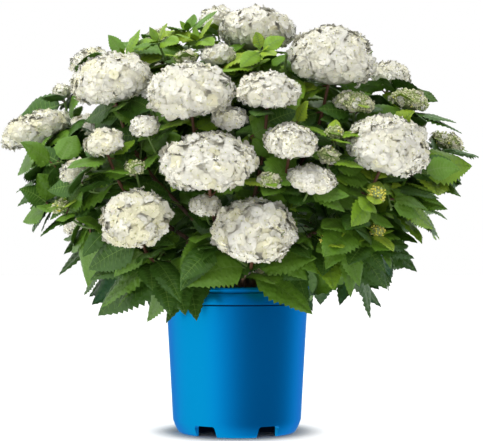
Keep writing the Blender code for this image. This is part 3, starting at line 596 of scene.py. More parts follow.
WAVE = 0.018                   # of its margin, as a share of its length
RIPPLES = (1.2, 2.2)           # waves along a margin
VEIN_LIFT = 0.00035
MIDRIB_WIDTH = 0.00085         # half widths of the raised veins
MIDRIB_TAPER = 0.75            # lost towards the tip
SIDE_VEIN_WIDTH = 0.00042
SIDE_VEIN_END = 0.5            # its width at the margin, against that at the midrib
PETIOLE_RADIUS = (0.0017, 0.0012)
PETIOLE_OVERLAP = 0.03         # how far a stalk runs on under the blade, as a share of the leaf's length
FULL_STALK = 0.08              # length from which a leaf's stalk has its full thickness

FLORET_SIZE = (0.0175, 0.0228)   # across a floret of a large head
SMALL_FLORET_SIZE = (0.0145, 0.0182)
LARGE_HEAD = 0.08              # width from which a head's florets are large
FLORET_KINDS = 10
FLORET_AREA = 0.78             # of a floret, against the square round it
FLORET_TILT = 0.23             # how unevenly florets face outward
FLORET_SINK = 0.0015
HEAD_SWELL = 0.045             # of a head's lumps, against its radius
HEAD_LUMPS = ((3, 4), (5, 7))  # two sets of them: waves round a head, and radians over its upper half
HEAD_JITTER = 0.03             # of its florets, in and out
LEVEL_JITTER = 0.5             # and up and down, over the square root of their number
TURN_JITTER = 3.0              # and round the head, in radians over the same
GOLDEN_TURN = 0.6180339887     # from each floret to the next
DOME_FOOT = -0.98              # the lowest that any stands
FLORET_COVER = 2.2             # area of all florets over that of the head's surface
LEAST_FLORETS = 9              # on the smallest open head
LOWEST_FLORET = -0.72          # how far round the underside they stand, as a share of its depth
LOWEST_BUD = -0.55
LOWEST_RAY = -0.9
RAYS = 14                      # places for a head's rays, the first few of which are too near its top
FIRST_RAY = 4
RAY_RADIUS = (0.0012, 0.0008)
RAY_SAG = 0.06                 # of a ray, against the head's thickness
SEPAL_ROWS = (0.06, 0.42, 0.78, 1.0)
SEPAL_COLUMNS = (-1.0, -0.36, 0.36, 1.0)
SEPAL_LENGTH = (0.86, 1.08)    # this, the widths and the rises are against the radius of a floret
SEPAL_HALF_WIDTH = (0.56, 0.68)
SEPAL_OUTLINE = (0.10, 0.79, 0.75)   # of half a sine: where it starts, how much of it there is, its power
SEPAL_NOTCH = 0.05             # in the middle of its tip
SEPAL_SHOULDER = 0.12          # how far the corners beside that draw back
SEPAL_EDGE = (0.94, 1.06)      # how uneven its margin is
SEPAL_CUP = (-0.15, 0.26)      # how far a sepal's tip rises
SEPAL_TWIST = (0.10, 0.26)     # and one side over the other
SEPAL_CURL = 0.25              # how far its margin turns down, and the least and greatest share of that
SEPAL_CURLS = (-0.5, 1.0)
SEPAL_RUFFLE = 0.16
SEPAL_WAVES = (0.5, 0.9)       # ruffles over half its width
SEPAL_ROUGHNESS = 0.05
SEPAL_TURN = 0.14              # out of its quarter, in radians
CORE_SIZE = 0.925              # of the heart of a head, against the whole
CORE_SWELL = (0.95, 1.03)
CORE_GRID = (18, 10)
EYE_RADIUS = 0.0013
EYE_LIFT = 0.0006
BUD_RADIUS = (0.0012, 0.0023)
BUD_COVER = 1.25               # area of all buds over that of the head's surface
BUD_SPACE = 0.0021             # radius that each bud is counted with
BUD_DEPTHS = (-0.0035, 0.0015)   # how far in and out they stand
BUD_TILT = 0.1                 # how unevenly they face outward
LEAST_BUDS = 24                # on the smallest head in bud
HALF_OPEN = (0.0045, 0.0065)   # radius of the florets among the buds
HALF_OPEN_TILT = 0.2
HALF_OPEN_LIFT = 0.002
LEAST_HALF_OPEN = 4            # on a head in bud that has any
BUDS_TO_FLORET = 14            # and on the larger ones, buds for each such floret
LEAST_FLOWERING = 0.028        # width under which a head in bud has no such florets
YELLOW_CHANCES = (0.0, 0.22, 0.78)   # of each bud tint where the buds are yellow, and elsewhere
BUD_CHANCES = (0.55, 0.42, 0.03)

QUILT_SCALE = 150.0            # cushions of leaf between the smallest veins, per metre
QUILT_DEPTH = 0.002
GRAIN_DEPTH = 0.0006           # of every finish's fine relief
MOTTLE_STOPS = (0.35, 0.68)    # where mottling is all dark, and all light
PETAL_SKIN = {"Subsurface Weight": 0.9, "Subsurface Radius": (1.0, 0.95, 0.8), "Subsurface Scale": 0.012,
              "Sheen Weight": 0.35, "Sheen Roughness": 0.4, "Sheen Tint": (1.0, 1.0, 0.95, 1.0)}

# Linear base colours
LEAF_TINTS = {"leaf_deep": (0.040, 0.103, 0.010), "leaf_mid": (0.100, 0.212, 0.017),
              "leaf_fresh": (0.175, 0.310, 0.021), "leaf_lime": (0.265, 0.390, 0.028)}
VEIN_TINT = (0.135, 0.240, 0.045)
PETAL_TINTS = {"petal_white": (0.585, 0.576, 0.520), "petal_milk": (0.580, 0.567, 0.477),
               "petal_cream": (0.562, 0.545, 0.400)}
EYE_TINT = (0.55, 0.56, 0.25)
# The hearts stand for a head's inside, its inner florets and stalks, and their tints are painted shade: the
# warm pale shade between florets and the green shade between buds
CORE_TINTS = {"head_heart": (0.680, 0.660, 0.560), "bud_heart": (0.300, 0.360, 0.140)}
BUD_TINTS = {"bud_cream": (0.66, 0.66, 0.42), "bud_green": (0.40, 0.47, 0.19),
             "bud_yellow": (0.78, 0.72, 0.12)}
BARK_TINT = (0.120, 0.062, 0.036)
SHOOT_TINTS = {"shoot_red": (0.130, 0.055, 0.030), "shoot_green": (0.120, 0.200, 0.045)}
POT_TINT = (0.0010, 0.255, 0.660)
POT_EDGE_TINT = (0.02, 0.36, 0.78)
# painted shade under the pot's floor and in the grooves under its lip and band
POT_SHADE_TINT = (0.001, 0.012, 0.035)
MIX_TINT = (0.040, 0.026, 0.018)
# Mottling: the light and the dark tint, and its scale
BARK_MOTTLE = ((0.19, 0.105, 0.06), (0.055, 0.028, 0.018), 90.0)
PEAT_MOTTLE = ((0.075, 0.045, 0.028), (0.014, 0.009, 0.007), 140.0)
CHIP_MOTTLE = ((0.16, 0.085, 0.045), (0.05, 0.028, 0.018), 60.0)
# Chance of each leaf tint, and of each petal tint, in most sprays and in those that differ
LEAF_MIX = {None: (0.44, 0.40, 0.14, 0.02), "low_right": (0.48, 0.36, 0.14, 0.02),
            "low_left": (0.62, 0.31, 0.07, 0.0), "low_centre": (0.54, 0.34, 0.12, 0.0),
            "far_left": (0.64, 0.36, 0.0, 0.0), "left": (0.48, 0.38, 0.14, 0.0)}
TOP_MIX = {"top_left": (0.10, 0.45, 0.33, 0.12), "centre_top": (0.10, 0.38, 0.32, 0.20),
           "upper_right": (0.15, 0.45, 0.30, 0.10), "right_shoulder": (0.10, 0.50, 0.30, 0.10),
           "upper_left": (0.15, 0.50, 0.28, 0.07), "top": (0.0, 0.45, 0.38, 0.17)}
TOP_LEAVES = 0.52              # leaves that start higher than this are fresher, in some sprays
LOW_LEAVES = 0.33              # and those that start lower than this are in the shade of the rest
LOW_MIX = (0.58, 0.36, 0.06, 0.0)
# Leaves of the source that are dressed smaller, by spray and number, so that they leave a flower head in view
TRIMMED = {("far_left", 13): 0.5, ("far_left", 18): 0.6, ("top", 9): 0.45, ("right_shoulder", 1): 0.6,
           ("right_shoulder", 13): 0.55, ("far_left", 9): 0.7}
PETAL_MIX = {None: (0.64, 0.31, 0.05), "far_left": (0.35, 0.45, 0.20), "low_left": (0.25, 0.45, 0.30),
             "left": (0.30, 0.45, 0.25), "upper_left": (0.52, 0.38, 0.10), "low_centre": (0.50, 0.38, 0.12)}
LIME_ROSETTE = "top"
ROSETTES = (LIME_ROSETTE, "top_left")   # sprays whose leafy shoots end in young leaves too
YOUNG_CHOICE, LIME_CHOICE = (1, 2, 2, 3), (2, 3, 3)   # the tints that their young leaves are dealt
GREEN_STALKS = 0.7             # of the leaf stalks, and the rest are red
YELLOW_BUDS = "low_right"
SHARED_PIECES = ("shoots_and_stalks", "head_hearts", "floret_eyes", "flower_buds")
GROUPED_PIECES = ("leaves_", "veins_", "petals_")


def before_rim(place):
    """Whether a point hangs in front of the bare stretch of the pot's rim."""
    (first, last), near, below = BARE_RIM
    return first < place.x < last and place.y < near and place.z < below


def hides(shoot, place):
    """Whether a point stands before a flower head, as the source's rule has it but over more of its width."""
    return before_head(shoot._replace(width=shoot.width * FINE_VIEW / HEAD_CLEAR), place)


def fine_sheet(space, name, leaf, blades):
    """A finer leaf as a sheet, or None unless it keeps to its space and to the views left open."""
    if not space.allows(name, [leaf_point(leaf, 1.0)[0]]):
        return None
    reach = leaf_reach(leaf)
    if any(map(before_rim, reach)) or not space.allows(name, reach):
        return None
    if any(hides(head, place) for head in space.heads for place in reach):
        return None
    sheet = blade(leaf)
    return None if any(map(sheet.overlap, blades)) else sheet


def finer_leaves(canes, sprays, chosen):
    """Smaller leaves between the source's own, by the same rule, closer set along the shoots."""
    space = Space(canes, sprays)
    space.clearance = FINE_CLEARANCE
    rng, hem = random.Random(23), random.Random(29)
    added = {}
    for name, shoots in sprays.items():
        added[name] = []
        blades = [blade(leaf) for leaf in chosen[name]]
        bare_tip = [YOUNG_START if shoot.kind == LEAFY and name in ROSETTES else FINE_START
                    for shoot in shoots]
        stems = [(shoot.points, start, FINE_PAIRS) for shoot, start in zip(shoots, bare_tip)]
        for points, start, pairs in stems + [(canes[name], FINE_START, CANE_PAIRS)]:
            turn = rng.uniform(0, math.pi)
            for pair in range(pairs):
                found = along_points(points, start + FINE_STEP * pair)
                if not found:
                    break
                root, stem_way = found
                side = stem_way.orthogonal().normalized()
                for half in (0, 1):
                    sway = rng.uniform(-FINE_SWAY, FINE_SWAY)
                    around = Quaternion(stem_way, turn + math.pi * half + sway)
                    size = rng.uniform(*FINE_SIZE)
                    droop = rng.uniform(*FINE_DROOP)
                    roll = rng.uniform(-FINE_ROLL, FINE_ROLL)
                    if root.z < OPEN_HEM[0] and hem.random() < OPEN_HEM[1]:
                        continue
                    for shrink, angle, spin in product(FINE_SHRINKS, FINE_ANGLES, FINE_TURNS):
                        leaf = try_leaf(root, stem_way, around @ side, size, droop, roll, spin, angle, shrink)
                        sheet = fine_sheet(space, name, leaf, blades)
                        if sheet is not None:
                            added[name].append(leaf)
                            blades.append(sheet)
                            break
                turn += math.pi / 2
    return added


def young_leaves(shoot, rng):
    """The pairs of young leaves that stand crosswise at a shoot's tip, each with its width over length."""
    side, front = head_frame(shoot)
    root = shoot.points[-1]
    start = rng.uniform(0, math.pi)
    pairs = YOUNG_PAIRS[shoot.kind]
    leaves = []
    for (number, (least, most, rise, shape)), half in product(enumerate(pairs), (0, 1)):
        turn = start + math.pi * (number / len(pairs) + half) + rng.uniform(-YOUNG_SWAY, YOUNG_SWAY)
        out = side * math.cos(turn) + front * math.sin(turn)
        way = (out + shoot.axis * rise * rng.uniform(*YOUNG_SPREAD)).normalized()
        light = (shoot.axis * YOUNG_LIGHT[0] - out * YOUNG_LIGHT[1]).normalized()
        leaves.append((Leaf(root, way, rng.uniform(*YOUNG_DROOP), rng.uniform(least, most), light), shape))
    return leaves


# ---------------------------------------------------------------- meshes in numpy
class Heap:
    """The points and faces that go into one piece."""

    def __init__(self):
        self.points = []
        self.faces = []
        self.count = 0

    def add(self, points, faces, finish=0):
        """Takes in points, and faces that all have as many corners, with the number of their material."""
        points = np.asarray(points, dtype=np.float64).reshape(-1, 3)
        self.points.append(points)
        self.faces.append((np.asarray(faces) + self.count, finish))
        self.count += len(points)

    def mesh(self, name, smooth=True):
        """A mesh of all that is in the heap."""
        made = bpy.data.meshes.new(name)
        corners = np.concatenate([faces.ravel() for faces, _ in self.faces])
        widths = np.concatenate([np.full(len(faces), faces.shape[1]) for faces, _ in self.faces])
        finishes = np.concatenate([np.full(len(faces), finish) for faces, finish in self.faces])
        starts = np.concatenate(([0], np.cumsum(widths)[:-1]))
        made.vertices.add(self.count)
        made.vertices.foreach_set("co", np.concatenate(self.points).astype(np.float32).ravel())
        made.loops.add(len(corners))
        made.loops.foreach_set("vertex_index", corners.astype(np.int32))
        made.polygons.add(len(widths))
        made.polygons.foreach_set("loop_start", starts.astype(np.int32))
        made.polygons.foreach_set("material_index", finishes.astype(np.int32))
        made.polygons.foreach_set("use_smooth", np.full(len(widths), smooth))
        made.update(calc_edges=True)
        made.validate()
        return made


@contextmanager
def edited(mesh):
    """A mesh opened for editing, and written back afterwards."""
    bm = bmesh.new()
    bm.from_mesh(mesh)
    yield bm
    bm.to_mesh(mesh)
    bm.free()


def grid_faces(rows, columns, closed=False):
    """The quads of a grid of points, closed round its columns for a tube."""
    across = columns if closed else columns - 1
    row, column = np.meshgrid(np.arange(rows - 1), np.arange(across), indexing="ij")
    row, column = row.ravel(), column.ravel()
    beside = (column + 1) % columns
    return np.stack((row * columns + column, row * columns + beside,
                     (row + 1) * columns + beside, (row + 1) * columns + column), axis=1)


def unit(vectors):
    """Vectors as they are, but of length 1."""
    return vectors / np.linalg.norm(vectors, axis=-1, keepdims=True)


def smoothed(points):
    """A smooth curve through points, as an array."""
    knots = [2 * points[0] - points[1], *points, 2 * points[-1] - points[-2]]
    curve = []
    for a, b, c, d in zip(knots, knots[1:], knots[2:], knots[3:]):
        for step in range(SMOOTH_STEPS):
            t = step / SMOOTH_STEPS
            curve.append(0.5 * (2 * b + (c - a) * t + (2 * a - 5 * b + 4 * c - d) * t * t
                                + (3 * b - a - 3 * c + d) * t ** 3))
    curve.append(points[-1])
    return np.array([tuple(point) for point in curve])


def tube(heap, path, radii, sides, finish=0, ridges=None):
    """A tube along a path into the heap, its ends closed with fans."""
    count = len(path)
    ways = unit(np.gradient(path, axis=0))
    across = np.cross(ways[0], SEAM_WAY)
    turns = np.linspace(0, math.tau, sides, endpoint=False)
    points = np.empty((count, sides, 3))
    for number in range(count):
        across = across - ways[number] * np.dot(across, ways[number])
        across /= np.linalg.norm(across)
        over = np.cross(ways[number], across)
        reach = radii[number] * (1 + (ridges[number] if ridges is not None else 0))
        points[number] = path[number] + (np.outer(np.cos(turns) * reach, across)
                                         + np.outer(np.sin(turns) * reach, over))
    flat = points.reshape(-1, 3)
    heap.add(flat, grid_faces(count, sides, closed=True), finish)
    ring = np.arange(sides)
    beside = (ring + 1) % sides
    for end, first, second in ((0, beside, ring), (count - 1, ring, beside)):
        fan = np.stack((first + 1, second + 1, np.zeros(sides, dtype=int)), axis=1)
        heap.add(np.vstack((path[end], points[end])), fan, finish)


def ball(segments, rings):
    """The points and quads of a unit ball, but for a pinhole at each pole."""
    slopes = np.linspace(PINHOLE, math.pi - PINHOLE, rings + 1)
    turns = np.linspace(0, math.tau, segments, endpoint=False)
    slope, turn = np.meshgrid(slopes, turns, indexing="ij")
    points = np.stack((np.sin(slope) * np.cos(turn), np.sin(slope) * np.sin(turn), np.cos(slope)), axis=-1)
    return points.reshape(-1, 3), grid_faces(rings + 1, segments, closed=True)[:, ::-1]


# A floret's bead: its points and faces
BEAD = (np.array(((1, 0, 0), (0, 1, 0), (-1, 0, 0), (0, -1, 0), (0, 0, 1), (0, 0, -1)), dtype=float),
        np.array(((0, 1, 4), (1, 2, 4), (2, 3, 4), (3, 0, 4), (1, 0, 5), (2, 1, 5), (3, 2, 5), (0, 3, 5))))


def copies(points, faces, frames, centres, scales):
    """Many copies of a small mesh: frames are 3 by 3 arrays with the axes in their columns."""
    placed = np.einsum("nij,pj->npi", frames, points) * scales[:, None, None] + centres[:, None, :]
    steps = np.arange(len(centres)) * len(points)
    return placed.reshape(-1, 3), (faces[None] + steps[:, None, None]).reshape(-1, faces.shape[1])


# ---------------------------------------------------------------- leaves
BLADE_POWERS = (0.60, 1.00)    # how a blade widens from its stalk and narrows to its tip
BLADE_WIDEST = 0.375 ** BLADE_POWERS[0] * 0.625 ** BLADE_POWERS[1]


def blade_outline(share):
    """Half the width of a blade along its length, 1 at its widest."""
    return share ** BLADE_POWERS[0] * (1 - share) ** BLADE_POWERS[1] / BLADE_WIDEST


def blade_grid(large):
    """A blade's grid: how far along and across each point is, and which rows lie between veins."""
    rows = 2 * VEINS[large] + 1
    run = (np.linspace(0, 1, rows) ** ROW_CROWDING)[:, None]
    side = np.array(LEAF_COLUMNS[large])[None, :]
    along = run + VEIN_SLANT * np.abs(side) * run ** SLANT_POWERS[0] * (1 - run) ** SLANT_POWERS[1]
    between = (np.arange(rows) % 2)[:, None] * np.ones_like(side)
    teeth = 1 + TOOTH * np.where(between > 0, -1.0, 1.0) * (np.abs(side) > TEETH_FROM)
    return along, side * teeth, between


def leaf_frames(leaf, share):
    """Places along a leaf and their directions along, across and out of it, as arrays."""
    share = share[..., None]
    way, light = np.array(leaf.way), np.array(leaf.light)
    fall = np.array((0, 0, -leaf.droop))
    place = np.array(leaf.root) + (way * share + fall * (0.5 * share ** 2)) * leaf.length
    along = unit(way + fall * share)
    face = unit(light - along * np.sum(along * light, axis=-1, keepdims=True))
    return place, np.cross(along, face), face


def add_blade(heap, veins, leaf, finish, rng, shape=LEAF_SHAPE):
    """One leaf's blade, with its raised veins."""
    along, side, between = blade_grid(leaf.length > SMALL_LEAF)
    share = STALK_SHARE + (1 - STALK_SHARE) * along
    half = 0.5 * shape * LEAF_FULLNESS * leaf.length
    across = side * half * blade_outline(along)
    reach = np.abs(side)
    rise = FOLD * np.abs(across) - CURL * half * blade_outline(along) * reach ** 3
    rise += PUFF * leaf.length * between * np.sin(math.pi * np.minimum(1, reach * PUFF_SPAN))
    ripple = math.tau * (rng.uniform(*RIPPLES) * along + rng.random()) + (side > 0) * rng.uniform(0, 3)
    rise += WAVE * leaf.length * reach ** 2 * np.sin(math.pi * along) * np.sin(ripple)
    place, sideways, face = leaf_frames(leaf, share)
    points = place + sideways * across[..., None] + face * rise[..., None]
    heap.add(points, grid_faces(*along.shape), finish)

    lifted = points + face * VEIN_LIFT
    middle = side.shape[1] // 2
    taper = (1 - MIDRIB_TAPER * along[:, middle])[:, None]
    width = sideways[:, middle] * MIDRIB_WIDTH * taper * min(1.0, leaf.length / SMALL_LEAF)
    strip = np.stack((lifted[:, middle] - width, lifted[:, middle] + width), axis=1)
    veins.add(strip, grid_faces(len(strip), 2))
    if leaf.length < TINY_LEAF:
        return
    rows = slice(2, -2, 2)
    for columns in (slice(middle, 0, -1), slice(middle, -1)):
        line = lifted[rows, columns]
        step = np.gradient(line, axis=1)
        step /= np.linalg.norm(step, axis=-1, keepdims=True) + 1e-9
        width = np.cross(face[rows, columns], step) * SIDE_VEIN_WIDTH
        width = width * np.linspace(1, SIDE_VEIN_END, line.shape[1])[None, :, None]
        for low, high in zip(line - width, line + width):
            veins.add(np.stack((low, high), axis=1), grid_faces(len(low), 2))


def add_petiole(heap, leaf, finish):
    """A leaf's stalk."""
    share = np.linspace(0, STALK_SHARE + PETIOLE_OVERLAP, 3)
    place = leaf_frames(leaf, share)[0]
    thin = min(1.0, leaf.length / FULL_STALK)
    tube(heap, place, np.linspace(*PETIOLE_RADIUS, 3) * thin, 4, finish)


# ---------------------------------------------------------------- flower heads
def sepal(rng, quarter):
    """The grid of points of one ruffled sepal, in its quarter of a floret that faces +Z and is 2 across."""
    rows, columns = np.array(SEPAL_ROWS)[:, None], np.array(SEPAL_COLUMNS)[None, :]
    shape = (rows.size, columns.size)
    first, span, power = SEPAL_OUTLINE
    at_tip = rows == 1
    length = rng.uniform(*SEPAL_LENGTH)
    half = rng.uniform(*SEPAL_HALF_WIDTH) * np.sin(math.pi * (first + span * rows)) ** power
    notch = 1 - SEPAL_NOTCH * (np.abs(columns) < 0.5) * at_tip
    notch = notch + rng.uniform(-SEPAL_ROUGHNESS, SEPAL_ROUGHNESS, shape) * at_tip
    run = rows * (1 - SEPAL_SHOULDER * np.abs(columns) ** 2 * rows) * length * notch
    wide = columns * half * rng.uniform(*SEPAL_EDGE, shape)
    cup = rng.uniform(*SEPAL_CUP)
    rise = (cup * rows ** 2 + rng.uniform(*SEPAL_TWIST) * columns * half * rows ** 0.5
            - SEPAL_CURL * np.abs(columns) ** 2 * rows * half * rng.uniform(*SEPAL_CURLS)
            + SEPAL_RUFFLE * rows * np.sin(math.tau * (columns * rng.uniform(*SEPAL_WAVES) + rng.random()))
            + rng.uniform(-SEPAL_ROUGHNESS, SEPAL_ROUGHNESS, shape))
    turn = 0.5 * math.pi * quarter + rng.uniform(-SEPAL_TURN, SEPAL_TURN)
    spin, lean = math.cos(turn), math.sin(turn)
    return np.stack((run * spin - wide * lean, run * lean + wide * spin, rise), axis=-1)


def floret_kinds(rng):
    """A few florets of four sepals, each with its points and faces."""
    faces = grid_faces(len(SEPAL_ROWS), len(SEPAL_COLUMNS))
    step = len(SEPAL_ROWS) * len(SEPAL_COLUMNS)
    faces = np.concatenate([faces + step * quarter for quarter in range(4)])
    return [(np.concatenate([sepal(rng, quarter).reshape(-1, 3) for quarter in range(4)]), faces)
            for _ in range(FLORET_KINDS)]


def head_arrays(shoot):
    """A flower head's middle, the two directions across it, and its axis, as arrays."""
    return [np.array(vector) for vector in (shoot.centre, *head_frame(shoot), shoot.axis)]


def half_depth(shoot, height):
    """Half a head's thickness, by whether each place is above or below its middle."""
    return 0.5 * shoot.thickness * np.where(height < 0, HEAD_UNDERSIDE, 1.0)


def dome_places(shoot, count, lowest, rng):
    """Places and outward directions spread over a flower head, from its top to a share of its underside."""
    centre, side, front, axis = head_arrays(shoot)
    number = np.arange(count) + 0.5
    height = 1 - (1 - lowest) * number / count + rng.uniform(-0.5, 0.5, count) / count ** 0.5 * LEVEL_JITTER
    height = np.clip(height, DOME_FOOT, 1.0)
    turn = math.tau * (number * GOLDEN_TURN) + rng.uniform(-0.5, 0.5, count) * TURN_JITTER / count ** 0.5
    reach = np.sqrt(1 - height ** 2)
    wide = 0.5 * shoot.width
    deep = half_depth(shoot, height)
    level = np.cos(turn)[:, None] * side + np.sin(turn)[:, None] * front
    lumps = sum(np.sin(around * turn + first) * np.sin(down * height + second)
                for (around, down), (first, second) in zip(HEAD_LUMPS, rng.uniform(0, math.tau, (2, 2))))
    swell = 1 + HEAD_SWELL * lumps + rng.uniform(-HEAD_JITTER, HEAD_JITTER, count)
    places = centre + ((reach * wide * swell)[:, None] * level + (height * deep * swell)[:, None] * axis)
    return places, unit((reach / wide)[:, None] * level + (height / deep)[:, None] * axis)


def head_area(shoot):
    """About the area of a flower head's surface, but for the foot of its underside."""
    return math.pi * shoot.width * (0.30 * shoot.width + 0.55 * shoot.thickness)


def facing(out, rng, tilt):
    """A frame for each direction, tilted a little from it and turned any way round it."""
    out = unit(out + rng.normal(0, tilt, out.shape))
    across = unit(np.cross(out, rng.normal(0, 1, out.shape)))
    return np.stack((across, np.cross(out, across), out), axis=-1)


def add_florets(shoot, petals, eyes, kinds, mix, rng):
    """The florets of an open head, with the bead at the heart of each."""
    sizes = FLORET_SIZE if shoot.width > LARGE_HEAD else SMALL_FLORET_SIZE
    mean = 0.5 * sum(sizes)
    count = max(LEAST_FLORETS, round(FLORET_COVER * head_area(shoot) / (FLORET_AREA * mean ** 2)))
    places, out = dome_places(shoot, count, LOWEST_FLORET, rng)
    scales = 0.5 * rng.uniform(*sizes, count)
    places = places - out * FLORET_SINK
    frames = facing(out, rng, FLORET_TILT)
    which = rng.integers(len(kinds), size=count)
    tint = rng.choice(len(mix), size=count, p=mix)
    for kind, finish in product(range(len(kinds)), range(len(mix))):
        chosen = (which == kind) & (tint == finish)
        if chosen.any():
            petals.add(*copies(*kinds[kind], frames[chosen], places[chosen], scales[chosen]), finish)
    eyes.add(*copies(*BEAD, frames, places + frames[:, :, 2] * EYE_LIFT, np.full(count, EYE_RADIUS)))


def add_core(shoot, heap, rng):
    """The heart of a head, which closes the view between its florets or buds, its tint painted shade for the
    head's inside.
    """
    centre, side, front, axis = head_arrays(shoot)
    points, faces = ball(*CORE_GRID)
    points = points * (CORE_SIZE * rng.uniform(*CORE_SWELL, (len(points), 1)))
    placed = (centre + 0.5 * shoot.width * (points[:, :1] * side + points[:, 1:2] * front)
              + (points[:, 2] * half_depth(shoot, points[:, 2]))[:, None] * axis)
    heap.add(placed, faces, int(shoot.kind == BUD))


def add_rays(shoot, heap, rng, finish):
    """The small stalks that spread from a stem's tip to the head's rim."""
    places, _ = dome_places(shoot, RAYS, LOWEST_RAY, rng)
    start = np.array(shoot.points[-1])
    for place in places[FIRST_RAY:]:
        path = np.linspace(start, place, 4)
        path[1:3] += np.array(shoot.axis) * (-RAY_SAG * shoot.thickness)
        tube(heap, path, np.linspace(*RAY_RADIUS, 4), 4, finish)


def add_buds(shoot, heap, petals, kinds, rng, yellow):
    """A head in bud: a dome of round buds, with a few small florets half open among them."""
    count = max(LEAST_BUDS, round(BUD_COVER * head_area(shoot) / (math.pi * BUD_SPACE ** 2)))
    places, out = dome_places(shoot, count, LOWEST_BUD, rng)
    places = places + out * rng.uniform(*BUD_DEPTHS, (count, 1))
    scales = rng.uniform(*BUD_RADIUS, count)
    points, faces = ball(4, 3)
    tint = rng.choice(len(BUD_TINTS), size=count, p=YELLOW_CHANCES if yellow else BUD_CHANCES)
    for finish in range(len(BUD_TINTS)):
        chosen = tint == finish
        if chosen.any():
            frames = facing(out[chosen], rng, BUD_TILT)
            heap.add(*copies(points, faces, frames, places[chosen], scales[chosen]), finish)
    if yellow or shoot.width < LEAST_FLOWERING:
        return
    few = rng.choice(count, size=max(LEAST_HALF_OPEN, count // BUDS_TO_FLORET), replace=False)
    frames = facing(out[few], rng, HALF_OPEN_TILT)
    for number, frame_of in zip(few, frames):
        kind = kinds[rng.integers(len(kinds))]
        place = places[number] + HALF_OPEN_LIFT * frame_of[:, 2]
        petals.add(*copies(*kind, frame_of[None], place[None], np.array([rng.uniform(*HALF_OPEN)])),
                   rng.integers(1, len(PETAL_TINTS)))


# ---------------------------------------------------------------- materials
def fill(tree, made, inputs):
    """Gives the inputs of a node their values, or the outputs that they are linked from."""
    for name, value in inputs.items():
        if isinstance(value, bpy.types.NodeSocket):
            tree.links.new(value, made.inputs[name])
        else:
            made.inputs[name].default_value = value


def node(tree, kind, inputs=None, **settings):
    """A new node of a material or of the world, set and filled."""
    made = tree.nodes.new("ShaderNode" + kind)
    for name, value in settings.items():
        setattr(made, name, value)
    fill(tree, made, inputs or {})
    return made


def set_shader(made, inputs):
    """Gives the inputs of a material's shader their values or links."""
    fill(made.node_tree, made.node_tree.nodes["Principled BSDF"], inputs)


def new_finish(name, colour, roughness, bump=0.0, scale=400.0, specular=0.5, spread=0.08, metallic=0.0,
               quilt=0.0):
    """A Principled material with its roughness and fine relief from noise, over small cushions if quilted."""
    made = bpy.data.materials.new(name)
    made.use_nodes = True
    made.diffuse_color = (*colour, 1.0)
    tree = made.node_tree
    place = node(tree, "TexCoord").outputs["Object"]
    grain = node(tree, "TexNoise", {"Scale": scale, "Detail": 3.0, "Vector": place}).outputs["Fac"]
    rough = node(tree, "MapRange", {"Value": grain, "To Min": roughness - spread,
                                    "To Max": roughness + spread})
    set_shader(made, {"Base Color": (*colour, 1.0), "Roughness": rough.outputs["Result"],
                      "Specular IOR Level": specular, "Metallic": metallic})
    if bump:
        relief = node(tree, "Bump", {"Strength": bump, "Distance": GRAIN_DEPTH, "Height": grain})
        set_shader(made, {"Normal": relief.outputs["Normal"]})
    if quilt:
        cells = node(tree, "TexVoronoi", {"Scale": QUILT_SCALE, "Vector": place}, feature="SMOOTH_F1")
        puff = node(tree, "Bump", {"Strength": quilt, "Distance": QUILT_DEPTH,
                                   "Height": cells.outputs["Distance"]}, invert=True)
        fill(tree, relief, {"Normal": puff.outputs["Normal"]})
    return made


def petal_skin(made):
    """Gives a petal's material its velvety sheen, and the light that passes through it."""
    made.node_tree.nodes["Principled BSDF"].subsurface_method = "BURLEY"
    set_shader(made, PETAL_SKIN)


def mottled(made, light, dark, scale):
    """Gives a material's colour a soft mottling between two tints."""
    tree = made.node_tree
    place = node(tree, "TexCoord").outputs["Object"]
    cloud = node(tree, "TexNoise", {"Scale": scale, "Detail": 4.0, "Vector": place})
    ramp = node(tree, "ValToRGB", {"Fac": cloud.outputs["Fac"]})
    for stop, position, tint in zip(ramp.color_ramp.elements, MOTTLE_STOPS, (dark, light)):
        stop.position = position
        stop.color = (*tint, 1.0)
    set_shader(made, {"Base Color": ramp.outputs["Color"]})
    return made


def linked(name, data):
    """A new object in the scene."""
    made = bpy.data.objects.new(name, data)
    bpy.context.scene.collection.objects.link(made)
    return made


def show(name, mesh, finishes, nodes):
    """Puts a mesh in the scene as a piece that stands for some CAD nodes."""
    made = linked(name, mesh)
    for each in finishes:
        mesh.materials.append(each)
    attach(made, "root")
    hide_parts(*nodes)


# ---------------------------------------------------------------- pot and potting mix
POT_SEGMENTS = 168
POT_MIDDLE = 0.0005            # radius of the small ring that closes the pot's floor
LIP_ROUND = 0.0022             # outside of the lip, above
EDGE_ROUND = 0.0012            # inside of the lip, and outside below
BAND_ROUNDS = (0.0010, 0.0006)   # of the band's upper and lower edge
GROOVE = 0.0034                # depth of the groove under the pot's lip
GROOVE_WIDTH = 0.0026
GROOVE_LEVELS = (0.0001, 0.0022)   # of its inner corners, below the lip
LEDGE_RECESS = 0.0016          # depth of the groove under the band
LEDGE_LEVELS = (0.0004, -0.0006)   # of its inner corners, against the band's lower edge
LEDGE_FOOT = (0.0001, 0.0018)  # in from the wall, and below the band, where its slope meets the wall
FOOT_CUT = (0.0003, 0.0006)    # of the foot's outer corner: in, and up from the ground
FOOT_EDGE = 0.0012             # how far in the foot meets the ground
WALL_LEVELS = (0.2000, 0.15, 0.09, 0.050, HEEL_HEIGHT, 0.020, 0.016, 0.012, 0.008, 0.0045, 0.002)
SHARP_EDGE = 32                # degrees between faces that aren't shaded as one
NOTCH_CORNER = 0.0042
NOTCH_REACH = 0.02             # of the block that cuts a notch, in and out from the skirt
NOTCH_DROP = 0.01              # and below the ground
MIX_SEGMENTS = 96
MIX_RINGS = 22
MIX_MIDDLE = 0.0006            # radius of the small hole at the middle of its top and foot
